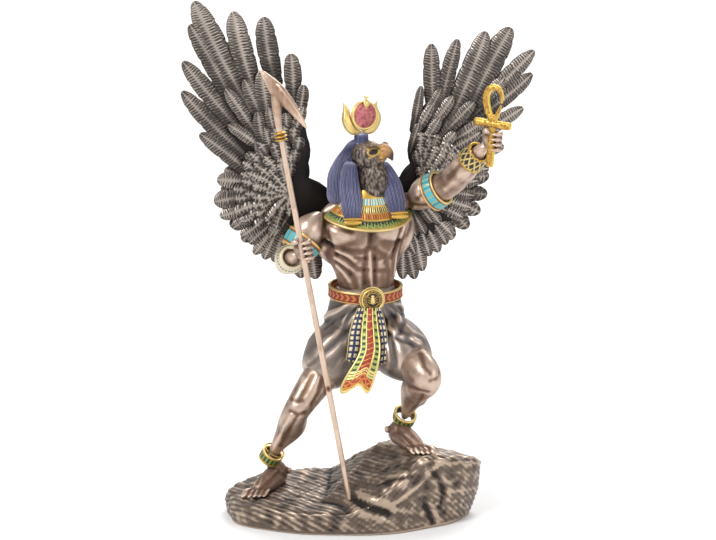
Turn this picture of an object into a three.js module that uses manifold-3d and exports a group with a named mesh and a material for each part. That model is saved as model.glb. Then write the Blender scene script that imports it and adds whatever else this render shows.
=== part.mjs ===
// A winged, falcon-headed sun god in the Egyptian manner, lunging over a rock with a long sceptre and an ankh.
// A cold-cast figurine, 28 cm tall. Millimetres, +Z up, -Y towards the viewer, origin under the middle of the rock.
// "Right" and "left" are the figure's own. Its right side is at -X.
import * as THREE from "three";
import { mergeVertices } from "three/addons/utils/BufferGeometryUtils.js";
import Module from "manifold-3d";

const wasm = await Module();
wasm.setup();

// Driving dimensions
const gap = 0.35; // clearance between pieces that touch
const rockHalfWidth = 66.5;
const rockHalfDepth = 41;
const rockMiddle = -9; // how far the middle of the rock is from the origin, along Y
const ledgeHeight = 11.6; // the low ground at the front, which rises a little to the right foot
const crestHeight = 39.6; // the high ground under the left foot
const staffRadius = 1.65;
const staffLength = 209; // to the ringed collar under its head
const discRadius = 7.8;
const ankhBar = 1.9; // half thickness of the ankh's bars
const featherRib = 1.3; // half thickness of a feather at its shaft

const colours = {
  bronze: { color: 0x7a5f4c, roughness: 0.35, metalness: 0.85 },
  feather: { color: 0x6d675f, roughness: 0.45, metalness: 0.7 },
  staff: { color: 0xa07c5e, roughness: 0.3, metalness: 0.9 },
  gold: { color: 0xc79a2e, roughness: 0.35, metalness: 0.8 },
  rock: { color: 0x6a5748, roughness: 0.5, metalness: 0.7 },
};

// Small maths
const vec = (x, y, z) => new THREE.Vector3(x, y, z);
const up = vec(0, 0, 1);
const front = vec(0, -1, 0);
const turn = THREE.MathUtils.degToRad;
const mix = THREE.MathUtils.lerp;
const smooth = (x, low, high) => THREE.MathUtils.smoothstep(x, low, high);
const hill = (x, centre, width) => Math.exp(-(((x - centre) / width) ** 2));
const between = (a, b, share) => a.clone().lerp(b, share);
const facing = (yaw) => vec(Math.sin(turn(yaw)), -Math.cos(turn(yaw)), 0); // yaw 0 looks at the viewer
const leftOf = (yaw) => vec(Math.cos(turn(yaw)), Math.sin(turn(yaw)), 0);
const square = (direction, axis) => direction.clone().addScaledVector(axis, -direction.dot(axis)).normalize();

// A number that runs smoothly through the listed values as t goes from 0 to 1.
function through(values, t) {
  return new THREE.CatmullRomCurve3(values.map((v) => vec(v, 0, 0))).getPoint(t).x;
}

// Solids
function solidOf(geometry) {
  const bare = geometry.clone();
  bare.deleteAttribute("normal");
  bare.deleteAttribute("uv");
  const merged = mergeVertices(bare, 1e-4);
  const triVerts = new Uint32Array(merged.index.array);
  const vertProperties = merged.attributes.position.array;
  const made = new wasm.Manifold(new wasm.Mesh({ numProp: 3, vertProperties, triVerts }));
  if (made.volume() > 0) return made;
  for (let i = 0; i < triVerts.length; i += 3) {
    [triVerts[i + 1], triVerts[i + 2]] = [triVerts[i + 2], triVerts[i + 1]];
  }
  return new wasm.Manifold(new wasm.Mesh({ numProp: 3, vertProperties, triVerts }));
}

const joined = (solids) => solids.reduce((whole, next) => whole.add(next));

function geometryOf(manifold) {
  const { vertProperties, triVerts } = manifold.getMesh();
  const geometry = new THREE.BufferGeometry();
  geometry.setAttribute("position", new THREE.BufferAttribute(vertProperties, 3));
  geometry.setIndex(new THREE.BufferAttribute(triVerts, 1));
  geometry.computeVertexNormals();
  return geometry;
}

// Moves each point of a unit cylinder to where place(t, angle, radius) puts it. t runs up the cylinder from 0 to 1.
// With pointed set, the cylinder is a cone whose point is at t = 1.
function warped(sides, rings, place, pointed = false) {
  const geometry = new THREE.CylinderGeometry(pointed ? 0 : 1, 1, 1, sides, rings);
  const points = geometry.attributes.position;
  for (let i = 0; i < points.count; i++) {
    const t = points.getY(i) + 0.5;
    const reach = Math.hypot(points.getX(i), points.getZ(i));
    const angle = reach > 0 ? Math.atan2(points.getX(i), points.getZ(i)) : 0;
    points.setXYZ(i, ...place(t, angle, reach > 1e-6 ? 1 : 0).toArray());
  }
  return solidOf(geometry);
}

// A limb: an oval that follows a curve. Angle 0 is its front. swell(t, angle) adds to the radius.
// grow makes it that much fatter all round, and longer at both ends.
function limb({ spine, width, depth = width, ahead, sides = 8, rings = 6, swell = () => 0 }, grow = 0) {
  const curve = new THREE.CatmullRomCurve3(spine);
  return warped(sides, rings, (t, angle, radius) => {
    const along = curve.getTangent(t);
    const side = new THREE.Vector3().crossVectors(along, ahead).normalize();
    const forward = new THREE.Vector3().crossVectors(side, along).normalize();
    const more = grow + swell(t, angle);
    const place = curve.getPoint(t).addScaledVector(along, (t - 0.5) * 2 * grow);
    place.addScaledVector(side, (through(width, t) + more) * radius * Math.sin(angle));
    return place.addScaledVector(forward, (through(depth, t) + more) * radius * Math.cos(angle));
  });
}

// Stacked ovals round an upright axis: each row is [z, x, y, half width, half depth]. swell(t, angle) as for a limb.
function stack({ rows, yaw, sides, rings, swell = () => 0 }, grow = 0) {
  const column = (index, t) => through(rows.map((row) => row[index]), t);
  const rising = Math.sign(rows.at(-1)[0] - rows[0][0]);
  return warped(sides, rings, (t, angle, radius) => {
    const more = grow + swell(t, angle);
    const place = vec(column(1, t), column(2, t), column(0, t) + rising * (t - 0.5) * 2 * grow);
    place.addScaledVector(leftOf(yaw), (column(3, t) + more) * radius * Math.sin(angle));
    return place.addScaledVector(facing(yaw), (column(4, t) + more) * radius * Math.cos(angle));
  });
}

// An ellipsoid whose axes are the figure's left, up and front at that yaw.
function lump(centre, [across, tall, deep], yaw, grow = 0, detail = [7, 5]) {
  const geometry = new THREE.SphereGeometry(1, ...detail);
  geometry.scale(across + grow, tall + grow, deep + grow);
  geometry.applyMatrix4(new THREE.Matrix4().makeBasis(leftOf(yaw), up, facing(yaw)));
  return solidOf(geometry.translate(...centre.toArray()));
}

// A short drum round a limb, such as an armband.
function band(centre, axis, radius, height, grow = 0, sides = 10) {
  const geometry = new THREE.CylinderGeometry(radius + grow, radius + grow, height + 2 * grow, sides, 1);
  geometry.applyQuaternion(new THREE.Quaternion().setFromUnitVectors(vec(0, 1, 0), axis.clone().normalize()));
  return solidOf(geometry.translate(...centre.toArray()));
}

// The figure's joints
const pelvisYaw = 13;
const chestYaw = 17;
const clothYaw = 45;
const headYaw = 57;
const crownYaw = 32;
const body = {
  rightShoulder: vec(-11.5, -5, 165.5),
  rightElbow: vec(-30.5, -13, 142.5),
  rightWrist: vec(-28.5, -29, 146.5),
  rightFist: vec(-22.3, -38.8, 152.3),
  leftShoulder: vec(35, 9, 169.5),
  leftElbow: vec(56.5, -4, 183.5),
  leftWrist: vec(71.5, -21, 202.5),
  leftFist: vec(77.4, -30, 209.5),
  rightHip: vec(3.5, 4, 101),
  rightKnee: vec(-26, -18, 61),
  rightAnkle: vec(-42.5, -4, 29),
  leftHip: vec(20, 6, 100),
  leftKnee: vec(43.5, -31, 82.5),
  leftAnkle: vec(31.8, -9, 53),
};

// Torso, from the crotch to the neck. Breast, belly and spine are swellings and grooves in it.
const torsoRows = [
  [112, 11.3, 5, 19, 14],
  [122, 11.3, 5, 18.2, 13.6],
  [130, 11.3, 5, 17.4, 12.8],
  [140, 10.8, 4.6, 19.6, 13.4],
  [151, 10, 4.2, 22.6, 14.8],
  [162, 10.8, 4, 23.4, 14.4],
  [170, 13, 3.4, 16.5, 11.5],
  [178, 14.4, 2.6, 9.4, 9.4],
];

function torsoSwell(t, angle) {
  const breast = 3 * hill(t, 0.68, 0.1) * hill(Math.abs(angle), 0.5, 0.36);
  const breastGroove = -1.6 * hill(t, 0.64, 0.18) * hill(angle, 0, 0.14);
  const belly = 1.2 * hill(t, 0.36, 0.16) * hill(Math.abs(angle), 0.26, 0.16);
  const ribs = 1.1 * hill(t, 0.48, 0.1) * hill(Math.abs(angle), 1.05, 0.4);
  const back = 1.6 * hill(t, 0.62, 0.2) * hill(Math.abs(angle), 2.3, 0.4);
  const spine = -2 * hill(Math.abs(angle), Math.PI, 0.24) * hill(t, 0.45, 0.4);
  return breast + breastGroove + belly + ribs + back + spine;
}

const torso = (grow) => stack({ rows: torsoRows, yaw: chestYaw, sides: 14, rings: 9, swell: torsoSwell }, grow);

// Bands on a limb: each [from, to, height] is a raised ring over that share of its length.
const bands = (...rings) => (t) =>
  rings.reduce((height, [from, to, raised]) => height + (t > from - 0.01 && t < to + 0.01 ? raised : 0), 0);

// Arms
const armOf = (shoulder, elbow, wrist, fist, width, depth, ahead) => ({
  spine: [shoulder, between(shoulder, elbow, 0.5), elbow, between(elbow, wrist, 0.35), wrist, between(wrist, fist, 0.6)],
  width,
  depth,
  ahead,
  rings: 10,
  swell: bands([0.2, 0.3, 1], [0.7, 0.8, 1.2]),
});
const rightArm = armOf(
  body.rightShoulder, body.rightElbow, body.rightWrist, body.rightFist,
  [10.4, 9.6, 7, 7.2, 5, 4.6],
  [10.8, 9.8, 7.2, 7, 4.8, 4.2],
  vec(0.8, -0.2, 1),
);
const leftArm = armOf(
  body.leftShoulder, body.leftElbow, body.leftWrist, body.leftFist,
  [10.4, 9.6, 7.8, 7.6, 5, 4.8],
  [10.6, 9.6, 7.4, 7.2, 4.8, 4.2],
  vec(-0.3, -1, 0.4),
);

// The staff's line, from the ledge through the right hand, and the ankh's own axes.
const staffFoot = vec(3.3, -36, 11.5);
const staffLine = vec(-33.4, -40, 213.1).sub(staffFoot).normalize();
const ankhUp = vec(0.05, -0.1, 1).normalize();
const ankhSide = square(vec(0.85, -0.49, -0.19), ankhUp);
const ankhFront = new THREE.Vector3().crossVectors(ankhSide, ankhUp);

// A closed hand round a bar. wrist is where it comes from; knuckles is 1 or -1, the side that the fingers pass.
function hand({ centre, bar, wrist, knuckles }, grow) {
  const back = square(wrist.clone().sub(centre), bar); // from the bar to the wrist
  const out = new THREE.Vector3().crossVectors(bar, back).multiplyScalar(knuckles);
  const at = (along, backward, outward) =>
    centre.clone().addScaledVector(bar, along).addScaledVector(back, backward).addScaledVector(out, outward);
  const made = [
    limb({
      spine: [at(-5.4, 3, 0.8), at(0, 3.8, 1), at(5, 3.2, 0.6)],
      width: [2.4, 3.4, 2.6],
      depth: [2.6, 3.2, 2.6],
      ahead: back,
      sides: 6,
      rings: 2,
    }, grow),
    limb({
      spine: [at(4, 3.4, -1.6), at(5, 0, -3.8), at(4.2, -3.4, -3)],
      width: [2.2, 1.9, 1.3],
      ahead: bar,
      sides: 5,
      rings: 2,
    }, grow),
  ];
  for (let finger = 0; finger < 4; finger++) {
    const along = 4.1 - 2.8 * finger;
    const thick = 1.38 - 0.05 * finger;
    made.push(limb({
      spine: [at(along, 2.6, 3), at(along, -1.6, 4.2), at(along, -4, 0.6), at(along, -1.6, -2.8)],
      width: [thick, thick, thick, thick * 0.85],
      ahead: bar,
      sides: 4,
      rings: 3,
    }, grow));
  }
  return made;
}

function arms(grow) {
  return [
    limb(rightArm, grow),
    limb(leftArm, grow),
    ...hand({ centre: body.rightFist, bar: staffLine, wrist: body.rightWrist, knuckles: -1 }, grow),
    ...hand({ centre: body.leftFist, bar: ankhUp, wrist: body.leftWrist, knuckles: -1 }, grow),
  ];
}

// Legs and feet
const legOf = (hip, knee, ankle, calf, width, depth, ahead) => ({
  spine: [
    hip,
    between(hip, knee, 0.5),
    knee,
    between(knee, ankle, 0.35).add(calf),
    between(knee, ankle, 0.7).addScaledVector(calf, 0.4),
    ankle,
  ],
  width,
  depth,
  ahead,
  rings: 10,
  swell: bands([0.9, 1, 1.1]),
});
const rightLeg = legOf(
  body.rightHip, body.rightKnee, body.rightAnkle, vec(2.2, 3, 0),
  [13, 11.6, 7.4, 7.8, 5.2, 4.3],
  [13.5, 12, 8, 8.6, 5.6, 4.8],
  vec(-0.4, -1, 0.1),
);
const leftLeg = legOf(
  body.leftHip, body.leftKnee, body.leftAnkle, vec(-1.6, 3.4, 0),
  [13, 12.4, 8.8, 7.9, 5.4, 4.4],
  [13.5, 12.4, 9.2, 8.8, 5.8, 5],
  vec(0.5, -1, 0.6),
);
const rightFoot = { heel: vec(-33.5, 6.5, 16.4), toes: vec(-51.5, -26, 14.2), ankle: body.rightAnkle, bigToe: 1 };
const leftFoot = { heel: vec(25, -5.5, 42.6), toes: vec(44.5, -35.5, 41), ankle: body.leftAnkle, bigToe: -1 };

// bigToe is 1 where the big toe is on the right of the line from heel to toes.
function foot({ heel, toes, ankle, bigToe }, grow) {
  const ahead = toes.clone().sub(heel).setZ(0).normalize();
  const side = new THREE.Vector3().crossVectors(ahead, up);
  const at = (share, across, height) =>
    between(heel, toes, share).addScaledVector(side, across * bigToe).addScaledVector(up, height);
  const made = [
    limb({
      spine: [at(-0.02, 0, 1), at(0.22, 0, 2.6), at(0.55, 0.4, 1.4), at(0.86, 0.2, -0.1)],
      width: [3.6, 4.8, 5.7, 6.3],
      depth: [4, 5.2, 4, 2.5],
      ahead: up,
      rings: 4,
    }, grow),
    limb({
      spine: [ankle, at(0.2, 0, 6), at(0.3, 0, 2)],
      width: [4.4, 4.6, 4.8],
      depth: [4.8, 5.4, 6],
      ahead,
      rings: 2,
    }, grow),
  ];
  [5.2, 2, -0.5, -2.9, -5.1].forEach((across, toe) => {
    const size = toe === 0 ? 1.9 : 1.3 - 0.05 * toe;
    const geometry = new THREE.SphereGeometry(1, 4, 3).scale(size + grow, size + 1.8 + grow, size + grow);
    geometry.rotateZ(Math.atan2(-ahead.x, ahead.y)).translate(...at(0.94 - 0.035 * toe, across, -0.6).toArray());
    made.push(solidOf(geometry));
  });
  return made;
}

// Kilt: a wrap round the hips under a broad belt, a sleeve round each thigh and a drape between them at the back.
const beltHeight = 5.4;
function hips(grow) {
  const tops = [126 + grow, 126 - beltHeight - grow, 120.2 - grow, 110, 98, 86];
  const halfWidths = [19.8, 19.8, 18.9, 22, 24.4, 24];
  const halfDepths = [15.6, 15.6, 14.6, 17.2, 18.2, 16];
  return warped(18, 5, (t, angle, radius) => {
    const row = Math.round(t * 5);
    const fold = row > 2 ? 0.7 * Math.sin(7 * angle + row) : 0;
    const dip = 2.6 * Math.cos(angle) * (1 - smooth(row, 1, 4)); // the belt is lower in front
    const place = vec(11.2, 4.8, tops[row] - dip);
    place.addScaledVector(leftOf(pelvisYaw), (halfWidths[row] + fold + grow) * radius * Math.sin(angle));
    return place.addScaledVector(facing(pelvisYaw), (halfDepths[row] + fold + grow) * radius * Math.cos(angle));
  });
}

function kilt(grow) {
  const folds = (count, height) => (t, angle) => height * Math.sin(count * angle + 6 * t);
  return [
    hips(grow),
    limb({
      spine: [body.rightHip, between(body.rightHip, body.rightKnee, 0.3), between(body.rightHip, body.rightKnee, 0.63)],
      width: [15.5, 16.5, 14.6],
      depth: [16, 16.5, 15],
      ahead: rightLeg.ahead,
      sides: 12,
      rings: 3,
      swell: folds(5, 0.8),
    }, grow),
    limb({
      spine: [body.leftHip, between(body.leftHip, body.leftKnee, 0.42), between(body.leftHip, body.leftKnee, 0.8)],
      width: [15.5, 16, 14],
      depth: [16, 16, 14],
      ahead: leftLeg.ahead,
      sides: 12,
      rings: 3,
      swell: folds(5, 0.8),
    }, grow),
    limb({
      spine: [vec(10, 10, 104), vec(11, 9, 90), vec(12.5, 7, 76)],
      width: [20, 21.5, 19],
      depth: [8, 6, 2.6],
      ahead: front,
      sides: 10,
      rings: 3,
    }, grow),
  ];
}

// Buckle, the long apron that hangs from it and a stiff panel on each side of that.
const buckle = vec(14.6, -12.6, 121);
function apron(grow) {
  const strip = (spine, width, depth, rings) =>
    limb({ spine, width, depth, ahead: facing(pelvisYaw), sides: 6, rings }, grow);
  return [
    band(buckle, facing(pelvisYaw), 6.5, 4.4, grow, 12),
    strip(
      [vec(14.4, -15, 117), vec(14.2, -20.5, 104), vec(12.4, -26.5, 93), vec(7.6, -30, 82), vec(5.4, -31, 75.5)],
      [5, 5.8, 7.2, 8.4, 9],
      [1.5, 1.5, 1.6, 1.8, 2],
      6,
    ),
    strip([vec(10.4, -14, 116), vec(7.6, -18.5, 104), vec(6.4, -22, 91.5)], [3.4, 5, 5.6], [1.4, 1.6, 1.6], 3),
    strip([vec(18.6, -12, 116), vec(21.6, -18, 104), vec(22, -23, 91)], [3.4, 4.6, 5], [1.4, 1.6, 1.6], 3),
  ];
}

// Collar: a broad cape round the neck, deepest on the breast.
function collar(grow) {
  return warped(18, 2, (t, angle, radius) => {
    const breast = (0.5 + 0.5 * Math.cos(angle)) ** 1.4;
    const z = mix(180, mix(169.5, 158.8, breast), t) + (0.5 - t) * 2 * grow;
    const across = (through([9.4, 17, 25], t) + grow) * radius * Math.sin(angle);
    const forward = (through([9, 13, 13.4 + 6.2 * breast], t) + grow) * radius * Math.cos(angle);
    const centre = vec(11.8, 2.6, z);
    return centre.addScaledVector(leftOf(chestYaw), across).addScaledVector(facing(chestYaw), forward);
  });
}

// Head: skull, brow, hooked beak and feathered throat.
const skull = vec(12.2, 0.4, 198.4);
function head(grow) {
  const ahead = facing(headYaw);
  const at = (forward, height) => skull.clone().addScaledVector(ahead, forward).addScaledVector(up, height);
  return [
    lump(at(0.4, -0.4), [9.2, 8.2, 9.6], headYaw, grow, [9, 6]),
    limb({
      spine: [at(6, 1.6), at(10.6, 3.4), at(14.4, 1.8), at(16, -3)],
      width: [4.8, 3.6, 2.2, 0.5],
      depth: [5.6, 4.2, 2.8, 0.6],
      ahead: up,
      sides: 6,
      rings: 4,
    }, grow),
    limb({
      spine: [at(1.5, 0), at(3.4, -10), at(3, -20), at(0, -29)],
      width: [7, 7.6, 7.4, 9],
      depth: [7.6, 8, 7.6, 8],
      ahead,
      sides: 9,
      rings: 3,
    }, grow),
  ];
}

// Headcloth: a ribbed dome that widens down to the shoulders, with a lappet down each side of the breast.
function headcloth(grow) {
  const rows = [
    [207.4, 8.8, 2.4, 2.5, 2.5],
    [205.2, 8, 4.6, 7.8, 5.2],
    [200.4, 6.6, 7.4, 10.6, 5.6],
    [195, 5, 8.4, 13, 7],
    [188, 4.2, 8.6, 16, 9.4],
    [180, 5, 8, 19, 11],
    [173, 6, 8.6, 22.5, 12],
    [168, 7.5, 8, 22, 11.5],
  ];
  const ribs = (t, angle) => (Math.cos(7 * angle) > 0 ? 0.5 : 0);
  const lappet = (spine, yaw) => limb({
    spine,
    width: [4.6, 5.4, 5.4, 5.2],
    depth: [3, 2.6, 2.4, 2.4],
    ahead: facing(yaw),
    sides: 6,
    rings: 3,
  }, grow);
  return [
    stack({ rows, yaw: clothYaw, sides: 14, rings: 6, swell: ribs }, grow),
    lappet([vec(3, -2.6, 193), vec(2.4, -8, 184), vec(3.6, -12.2, 173), vec(4, -14.4, 163.4)], 10),
    lappet([vec(21, 1.4, 192), vec(25, -0.4, 183), vec(27.4, -3.6, 174), vec(28.6, -6.4, 165.6)], 26),
  ];
}

// Crown: a sun disc before two horns on a short post, with a cobra at its top.
const disc = vec(10.4, -1.4, 220);
function crown(grow) {
  const at = (across, height, ahead = 0) =>
    disc.clone().addScaledVector(leftOf(crownYaw), across).addScaledVector(up, height)
      .addScaledVector(facing(crownYaw), ahead);
  const horn = (side) => limb({
    spine: [at(0, -9.8, -3), at(6 * side, -8, -3), at(9.4 * side, -2.6, -3), at(9.2 * side, 3, -4), at(11 * side, 7, -4)],
    width: [2.4, 2.8, 2.5, 1.7, 0.4],
    depth: [2.8, 3, 2.6, 1.8, 0.4],
    ahead: facing(crownYaw),
    sides: 5,
    rings: 5,
  }, grow);
  return [
    band(at(0, -12.6, -3), up, 3.8, 6, grow, 7),
    band(disc, facing(crownYaw), discRadius, 3.4, grow, 12),
    lump(at(0, 7.8, 0.6), [1.7, 3, 1.9], crownYaw, grow, [5, 4]),
    horn(1),
    horn(-1),
  ];
}

// The whole figure. grow makes it that much fatter, to cut its neighbours clear of it.
function figureSolids(grow = 0) {
  return [
    torso(grow),
    ...arms(grow),
    limb(rightLeg, grow),
    limb(leftLeg, grow),
    ...foot(rightFoot, grow),
    ...foot(leftFoot, grow),
    ...kilt(grow),
    ...apron(grow),
    collar(grow),
    ...head(grow),
    ...headcloth(grow),
    ...crown(grow),
  ];
}

// Staff: a straight shaft, a ringed collar and an animal's head with a long snout and swept-back ears.
function staffShaft(grow = 0) {
  const at = (distance) => staffFoot.clone().addScaledVector(staffLine, distance);
  return limb({
    spine: [at(0), at(staffLength / 2), at(staffLength)],
    width: [staffRadius, staffRadius, staffRadius],
    ahead: front,
    rings: 1,
  }, grow);
}

function staff() {
  const side = square(vec(1, 0, 0), staffLine);
  const at = (distance, across) => staffFoot.clone().addScaledVector(staffLine, distance).addScaledVector(side, across);
  return joined([
    staffShaft(),
    band(at(204.6, 0), staffLine, 3.7, 4, 0, 8),
    limb({
      spine: [at(202, 0), at(214, 0.2), at(226, 1.6)],
      width: [2.3, 2.2, 3.2],
      depth: [2.3, 2.2, 2.8],
      ahead: front,
      sides: 6,
      rings: 2,
    }),
    limb({
      spine: [at(241.5, -4.4), at(236, -0.6), at(227.5, 3.8), at(218, 9.6), at(206, 14.4)],
      width: [0.9, 3, 4.4, 2.8, 1],
      depth: [0.9, 2, 3, 2.4, 1],
      ahead: front,
      sides: 6,
      rings: 6,
    }),
  ]);
}

// Ankh: a drop-shaped loop over a crossbar, with its stem through the left hand.
const ankhCentre = body.leftFist.clone().addScaledVector(ankhUp, 9);
const ankhAt = (across, height) =>
  ankhCentre.clone().addScaledVector(ankhSide, across).addScaledVector(ankhUp, height);
const ankhBars = (grow = 0) => [
  [ankhAt(-11, 0), ankhAt(0, 0), ankhAt(11, 0)],
  [ankhAt(0, 1.5), ankhAt(0, -11), ankhAt(0, -23.5)],
].map((spine) => limb({
  spine,
  width: [2.7, 1.9, 2.7],
  depth: [ankhBar, ankhBar, ankhBar],
  ahead: ankhFront,
  sides: 6,
  rings: 2,
}, grow));

function ankh() {
  const ring = new THREE.TorusGeometry(1, 0.5, 5, 13);
  const points = ring.attributes.position;
  for (let i = 0; i < points.count; i++) {
    const angle = Math.atan2(points.getY(i), points.getX(i));
    const out = (Math.hypot(points.getX(i), points.getY(i)) - 1) * 2 * ankhBar;
    const narrow = 0.72 + 0.28 * Math.sin(angle); // a drop: narrow at the foot, round at the head
    const place = ankhAt((6 * narrow + out) * Math.cos(angle), 11 + (8.6 + out) * Math.sin(angle));
    points.setXYZ(i, ...place.addScaledVector(ankhFront, points.getZ(i) * 2 * ankhBar).toArray());
  }
  return joined([solidOf(ring), ...ankhBars()]);
}

// Wings, drawn in the plane of X and Z. sail gives the depth of each. Flight feathers of the hand fan out from
// handRoot and those of the arm from armRoot, each to its own tip, and rows of coverts lie over their bases.
const rightWing = {
  handRoot: [-32, 177],
  armRoot: [-22, 177],
  handTips: [[-30, 252], [-44, 272], [-61, 275], [-81, 280.5], [-84.5, 268], [-88, 248], [-87, 232], [-79, 209]],
  armTips: [[-70, 183], [-71, 172], [-67, 162], [-61, 157], [-52, 146], [-44, 140], [-34, 133], [-20, 128], [-8, 128]],
  coverts: [
    { from: 82, to: 168, count: 6, reach: [60, 65, 64, 50, 37] },
    { from: 78, to: 166, count: 5, reach: [40, 43, 41, 33, 26] },
  ],
  armCoverts: [
    { from: 196, to: 284, count: 5, reach: [34, 32, 30] },
    { from: 204, to: 278, count: 3, reach: [20, 20, 20] },
  ],
  plate: { middle: [-34, 184], reach: [15, 17, 28, 50, 54, 38, 24, 32, 34, 38, 44, 40] },
  sail: (x, z) => 17 + 0.16 * x + 0.0006 * (z - 190) ** 2,
};
const leftWing = {
  handRoot: [53, 184],
  armRoot: [39, 176],
  handTips: [[47, 256], [62, 259], [77, 263], [93.5, 265.5], [105.5, 252], [104.5, 239], [99, 220], [88, 202]],
  armTips: [[74, 182], [71.5, 172], [66, 160], [59, 151], [54, 142], [47, 138], [41, 127], [34, 126], [28, 127]],
  coverts: [
    { from: 103, to: 18, count: 6, reach: [50, 47, 42, 44, 40] },
    { from: 108, to: 12, count: 5, reach: [36, 33, 30, 30, 28] },
  ],
  armCoverts: [
    { from: 0, to: -92, count: 4, reach: [24, 24, 32] },
    { from: -12, to: -88, count: 3, reach: [15, 15, 20] },
  ],
  plate: { middle: [48, 184], reach: [22, 34, 38, 46, 26, 15, 19, 34, 42, 40, 24, 20] },
  sail: (x, z) => 15 + 0.24 * (x - 15) + 0.0006 * (z - 190) ** 2,
};

// One feather: a long leaf with a raised shaft. ahead is how far it lies in front of the sail.
function feather({ sail }, { root, tip, start, halfWidth, ahead = 0, sides = 4 }) {
  const along = vec(tip[0] - root[0], 0, tip[1] - root[1]);
  const length = along.length();
  along.normalize();
  const side = vec(-along.z, 0, along.x);
  const stations = [0, 0.5, 0.88, 1];
  const outline = [0.7, 1, 0.76, 0];
  return warped(sides, 3, (t, angle, radius) => {
    const ring = Math.round(3 * t);
    const place = vec(root[0], 0, root[1]).addScaledVector(along, mix(start, length, stations[ring]));
    const across = halfWidth * outline[ring] * radius * Math.sin(angle);
    const rib = featherRib * mix(1, 0.5, t) * radius * Math.cos(angle);
    place.addScaledVector(side, across);
    place.y = sail(place.x, place.z) - ahead - rib + 0.14 * across;
    return place;
  }, true);
}

// The flesh of the wing: a thin lens whose outline reaches so far from its middle at every 30 degrees.
function plate({ sail, plate: { middle, reach } }) {
  const geometry = new THREE.SphereGeometry(1, reach.length, 4);
  const points = geometry.attributes.position;
  for (let i = 0; i < points.count; i++) {
    const angle = Math.atan2(points.getZ(i), points.getX(i));
    const spoke = Math.round((angle / (2 * Math.PI) + 1) * reach.length) % reach.length;
    const radius = reach[spoke] * Math.hypot(points.getX(i), points.getZ(i));
    const x = middle[0] + radius * Math.cos(angle);
    const z = middle[1] + radius * Math.sin(angle);
    points.setXYZ(i, x, sail(x, z) - 3.4 * points.getY(i), z);
  }
  return solidOf(geometry);
}

function wing(shape) {
  const { handRoot, armRoot } = shape;
  const made = [plate(shape)];
  const flight = (root, halfWidth) => (tip) => {
    const length = Math.hypot(tip[0] - root[0], tip[1] - root[1]);
    made.push(feather(shape, { root, tip, start: 0.42 * length, halfWidth }));
  };
  shape.handTips.forEach(flight(handRoot, 5));
  shape.armTips.forEach(flight(armRoot, 5.4));
  const row = (root, { from, to, count, reach }, layer) => {
    for (let i = 0; i < count; i++) {
      const share = i / (count - 1);
      const lean = turn(mix(from, to, share));
      const length = through(reach, share);
      const tip = [root[0] + length * Math.cos(lean), root[1] + length * Math.sin(lean)];
      const ahead = 1.1 + 1.1 * layer;
      made.push(feather(shape, { root, tip, start: length * 0.5, halfWidth: 5.2 - 0.3 * layer, ahead, sides: 3 }));
    }
  };
  shape.coverts.forEach((coverts, layer) => row(handRoot, coverts, layer));
  shape.armCoverts.forEach((coverts, layer) => row(armRoot, coverts, layer));
  return joined(made);
}

// Rock: a low ledge, and a block that tilts up from a lip at the front to a crest under the left foot.
const crest = { x: 33, y: -20, aheadX: -0.79, aheadY: -0.61 }; // a point on the crest and the way down to the lip
function rockTop(x, y) {
  const down = (x - crest.x) * crest.aheadX + (y - crest.y) * crest.aheadY;
  const along = (x - crest.x) * crest.aheadY - (y - crest.y) * crest.aheadX;
  const left = 0.72 * Math.max(0, down - 3);
  const right = 0.24 * Math.max(0, -down - 4);
  const back = 0.55 * Math.max(0, along - 20);
  const ledge = ledgeHeight + 0.06 * (y + 50) - 0.09 * Math.max(0, -x - 40);
  return Math.max(crestHeight - left - right - back, ledge) + 0.6 * Math.sin(0.35 * x + 0.2 * y) * Math.cos(0.31 * y);
}

function rock() {
  const shares = [0, 0.3, 0.56, 0.78, 0.95, 1.02, 1, 0]; // each ring's share of the outline's radius
  const drops = [0, 0, 0, 0, 0.04, 0.55, 1, 1]; // its share of the way down from the top to the ground
  const rings = shares.length - 1;
  const geometry = new THREE.SphereGeometry(1, 25, rings);
  const points = geometry.attributes.position;
  for (let i = 0; i < points.count; i++) {
    const ring = Math.round((Math.acos(THREE.MathUtils.clamp(points.getY(i), -1, 1)) / Math.PI) * rings);
    const angle = Math.atan2(points.getZ(i), points.getX(i));
    const bays = 1 + 0.02 * Math.sin(3 * angle + 0.6) + 0.015 * Math.cos(5 * angle) + 0.012 * Math.sin(9 * angle);
    const overhang = 1 + 0.12 * hill(angle, -0.1, 0.5) * (1 - drops[ring]) * smooth(shares[ring], 0.5, 0.9);
    const share = shares[ring] * bays * overhang;
    const x = rockHalfWidth * share * Math.cos(angle);
    const y = rockMiddle + rockHalfDepth * share * Math.sin(angle);
    points.setXYZ(i, x, y, mix(rockTop(x, y), 0, drops[ring]));
  }
  return solidOf(geometry);
}

// The pieces
const figureCore = joined(figureSolids());
const figureCutter = joined([figureCore, ...figureSolids(gap)]);
const clear = (solid, ...cutters) => cutters.reduce((rest, cutter) => rest.subtract(cutter), solid);
const pieces = {
  rock_base: [clear(rock(), figureCutter, staffShaft(gap)), colours.rock],
  figure: [clear(figureCore, staffShaft(gap), ...ankhBars(gap)), colours.bronze],
  right_wing: [clear(wing(rightWing), figureCutter), colours.feather],
  left_wing: [clear(wing(leftWing), figureCutter), colours.feather],
  was_staff: [staff(), colours.staff],
  ankh: [ankh(), colours.gold],
};

const statue = new THREE.Group();
statue.name = "statue";
for (const [name, [manifold, look]] of Object.entries(pieces)) {
  const mesh = new THREE.Mesh(geometryOf(manifold), new THREE.MeshStandardMaterial(look));
  mesh.name = name;
  statue.add(mesh);
}

export default statue;
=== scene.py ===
import math

import bmesh
import bpy
import numpy as np
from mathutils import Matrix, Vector, noise
from mathutils.bvhtree import BVHTree


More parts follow.
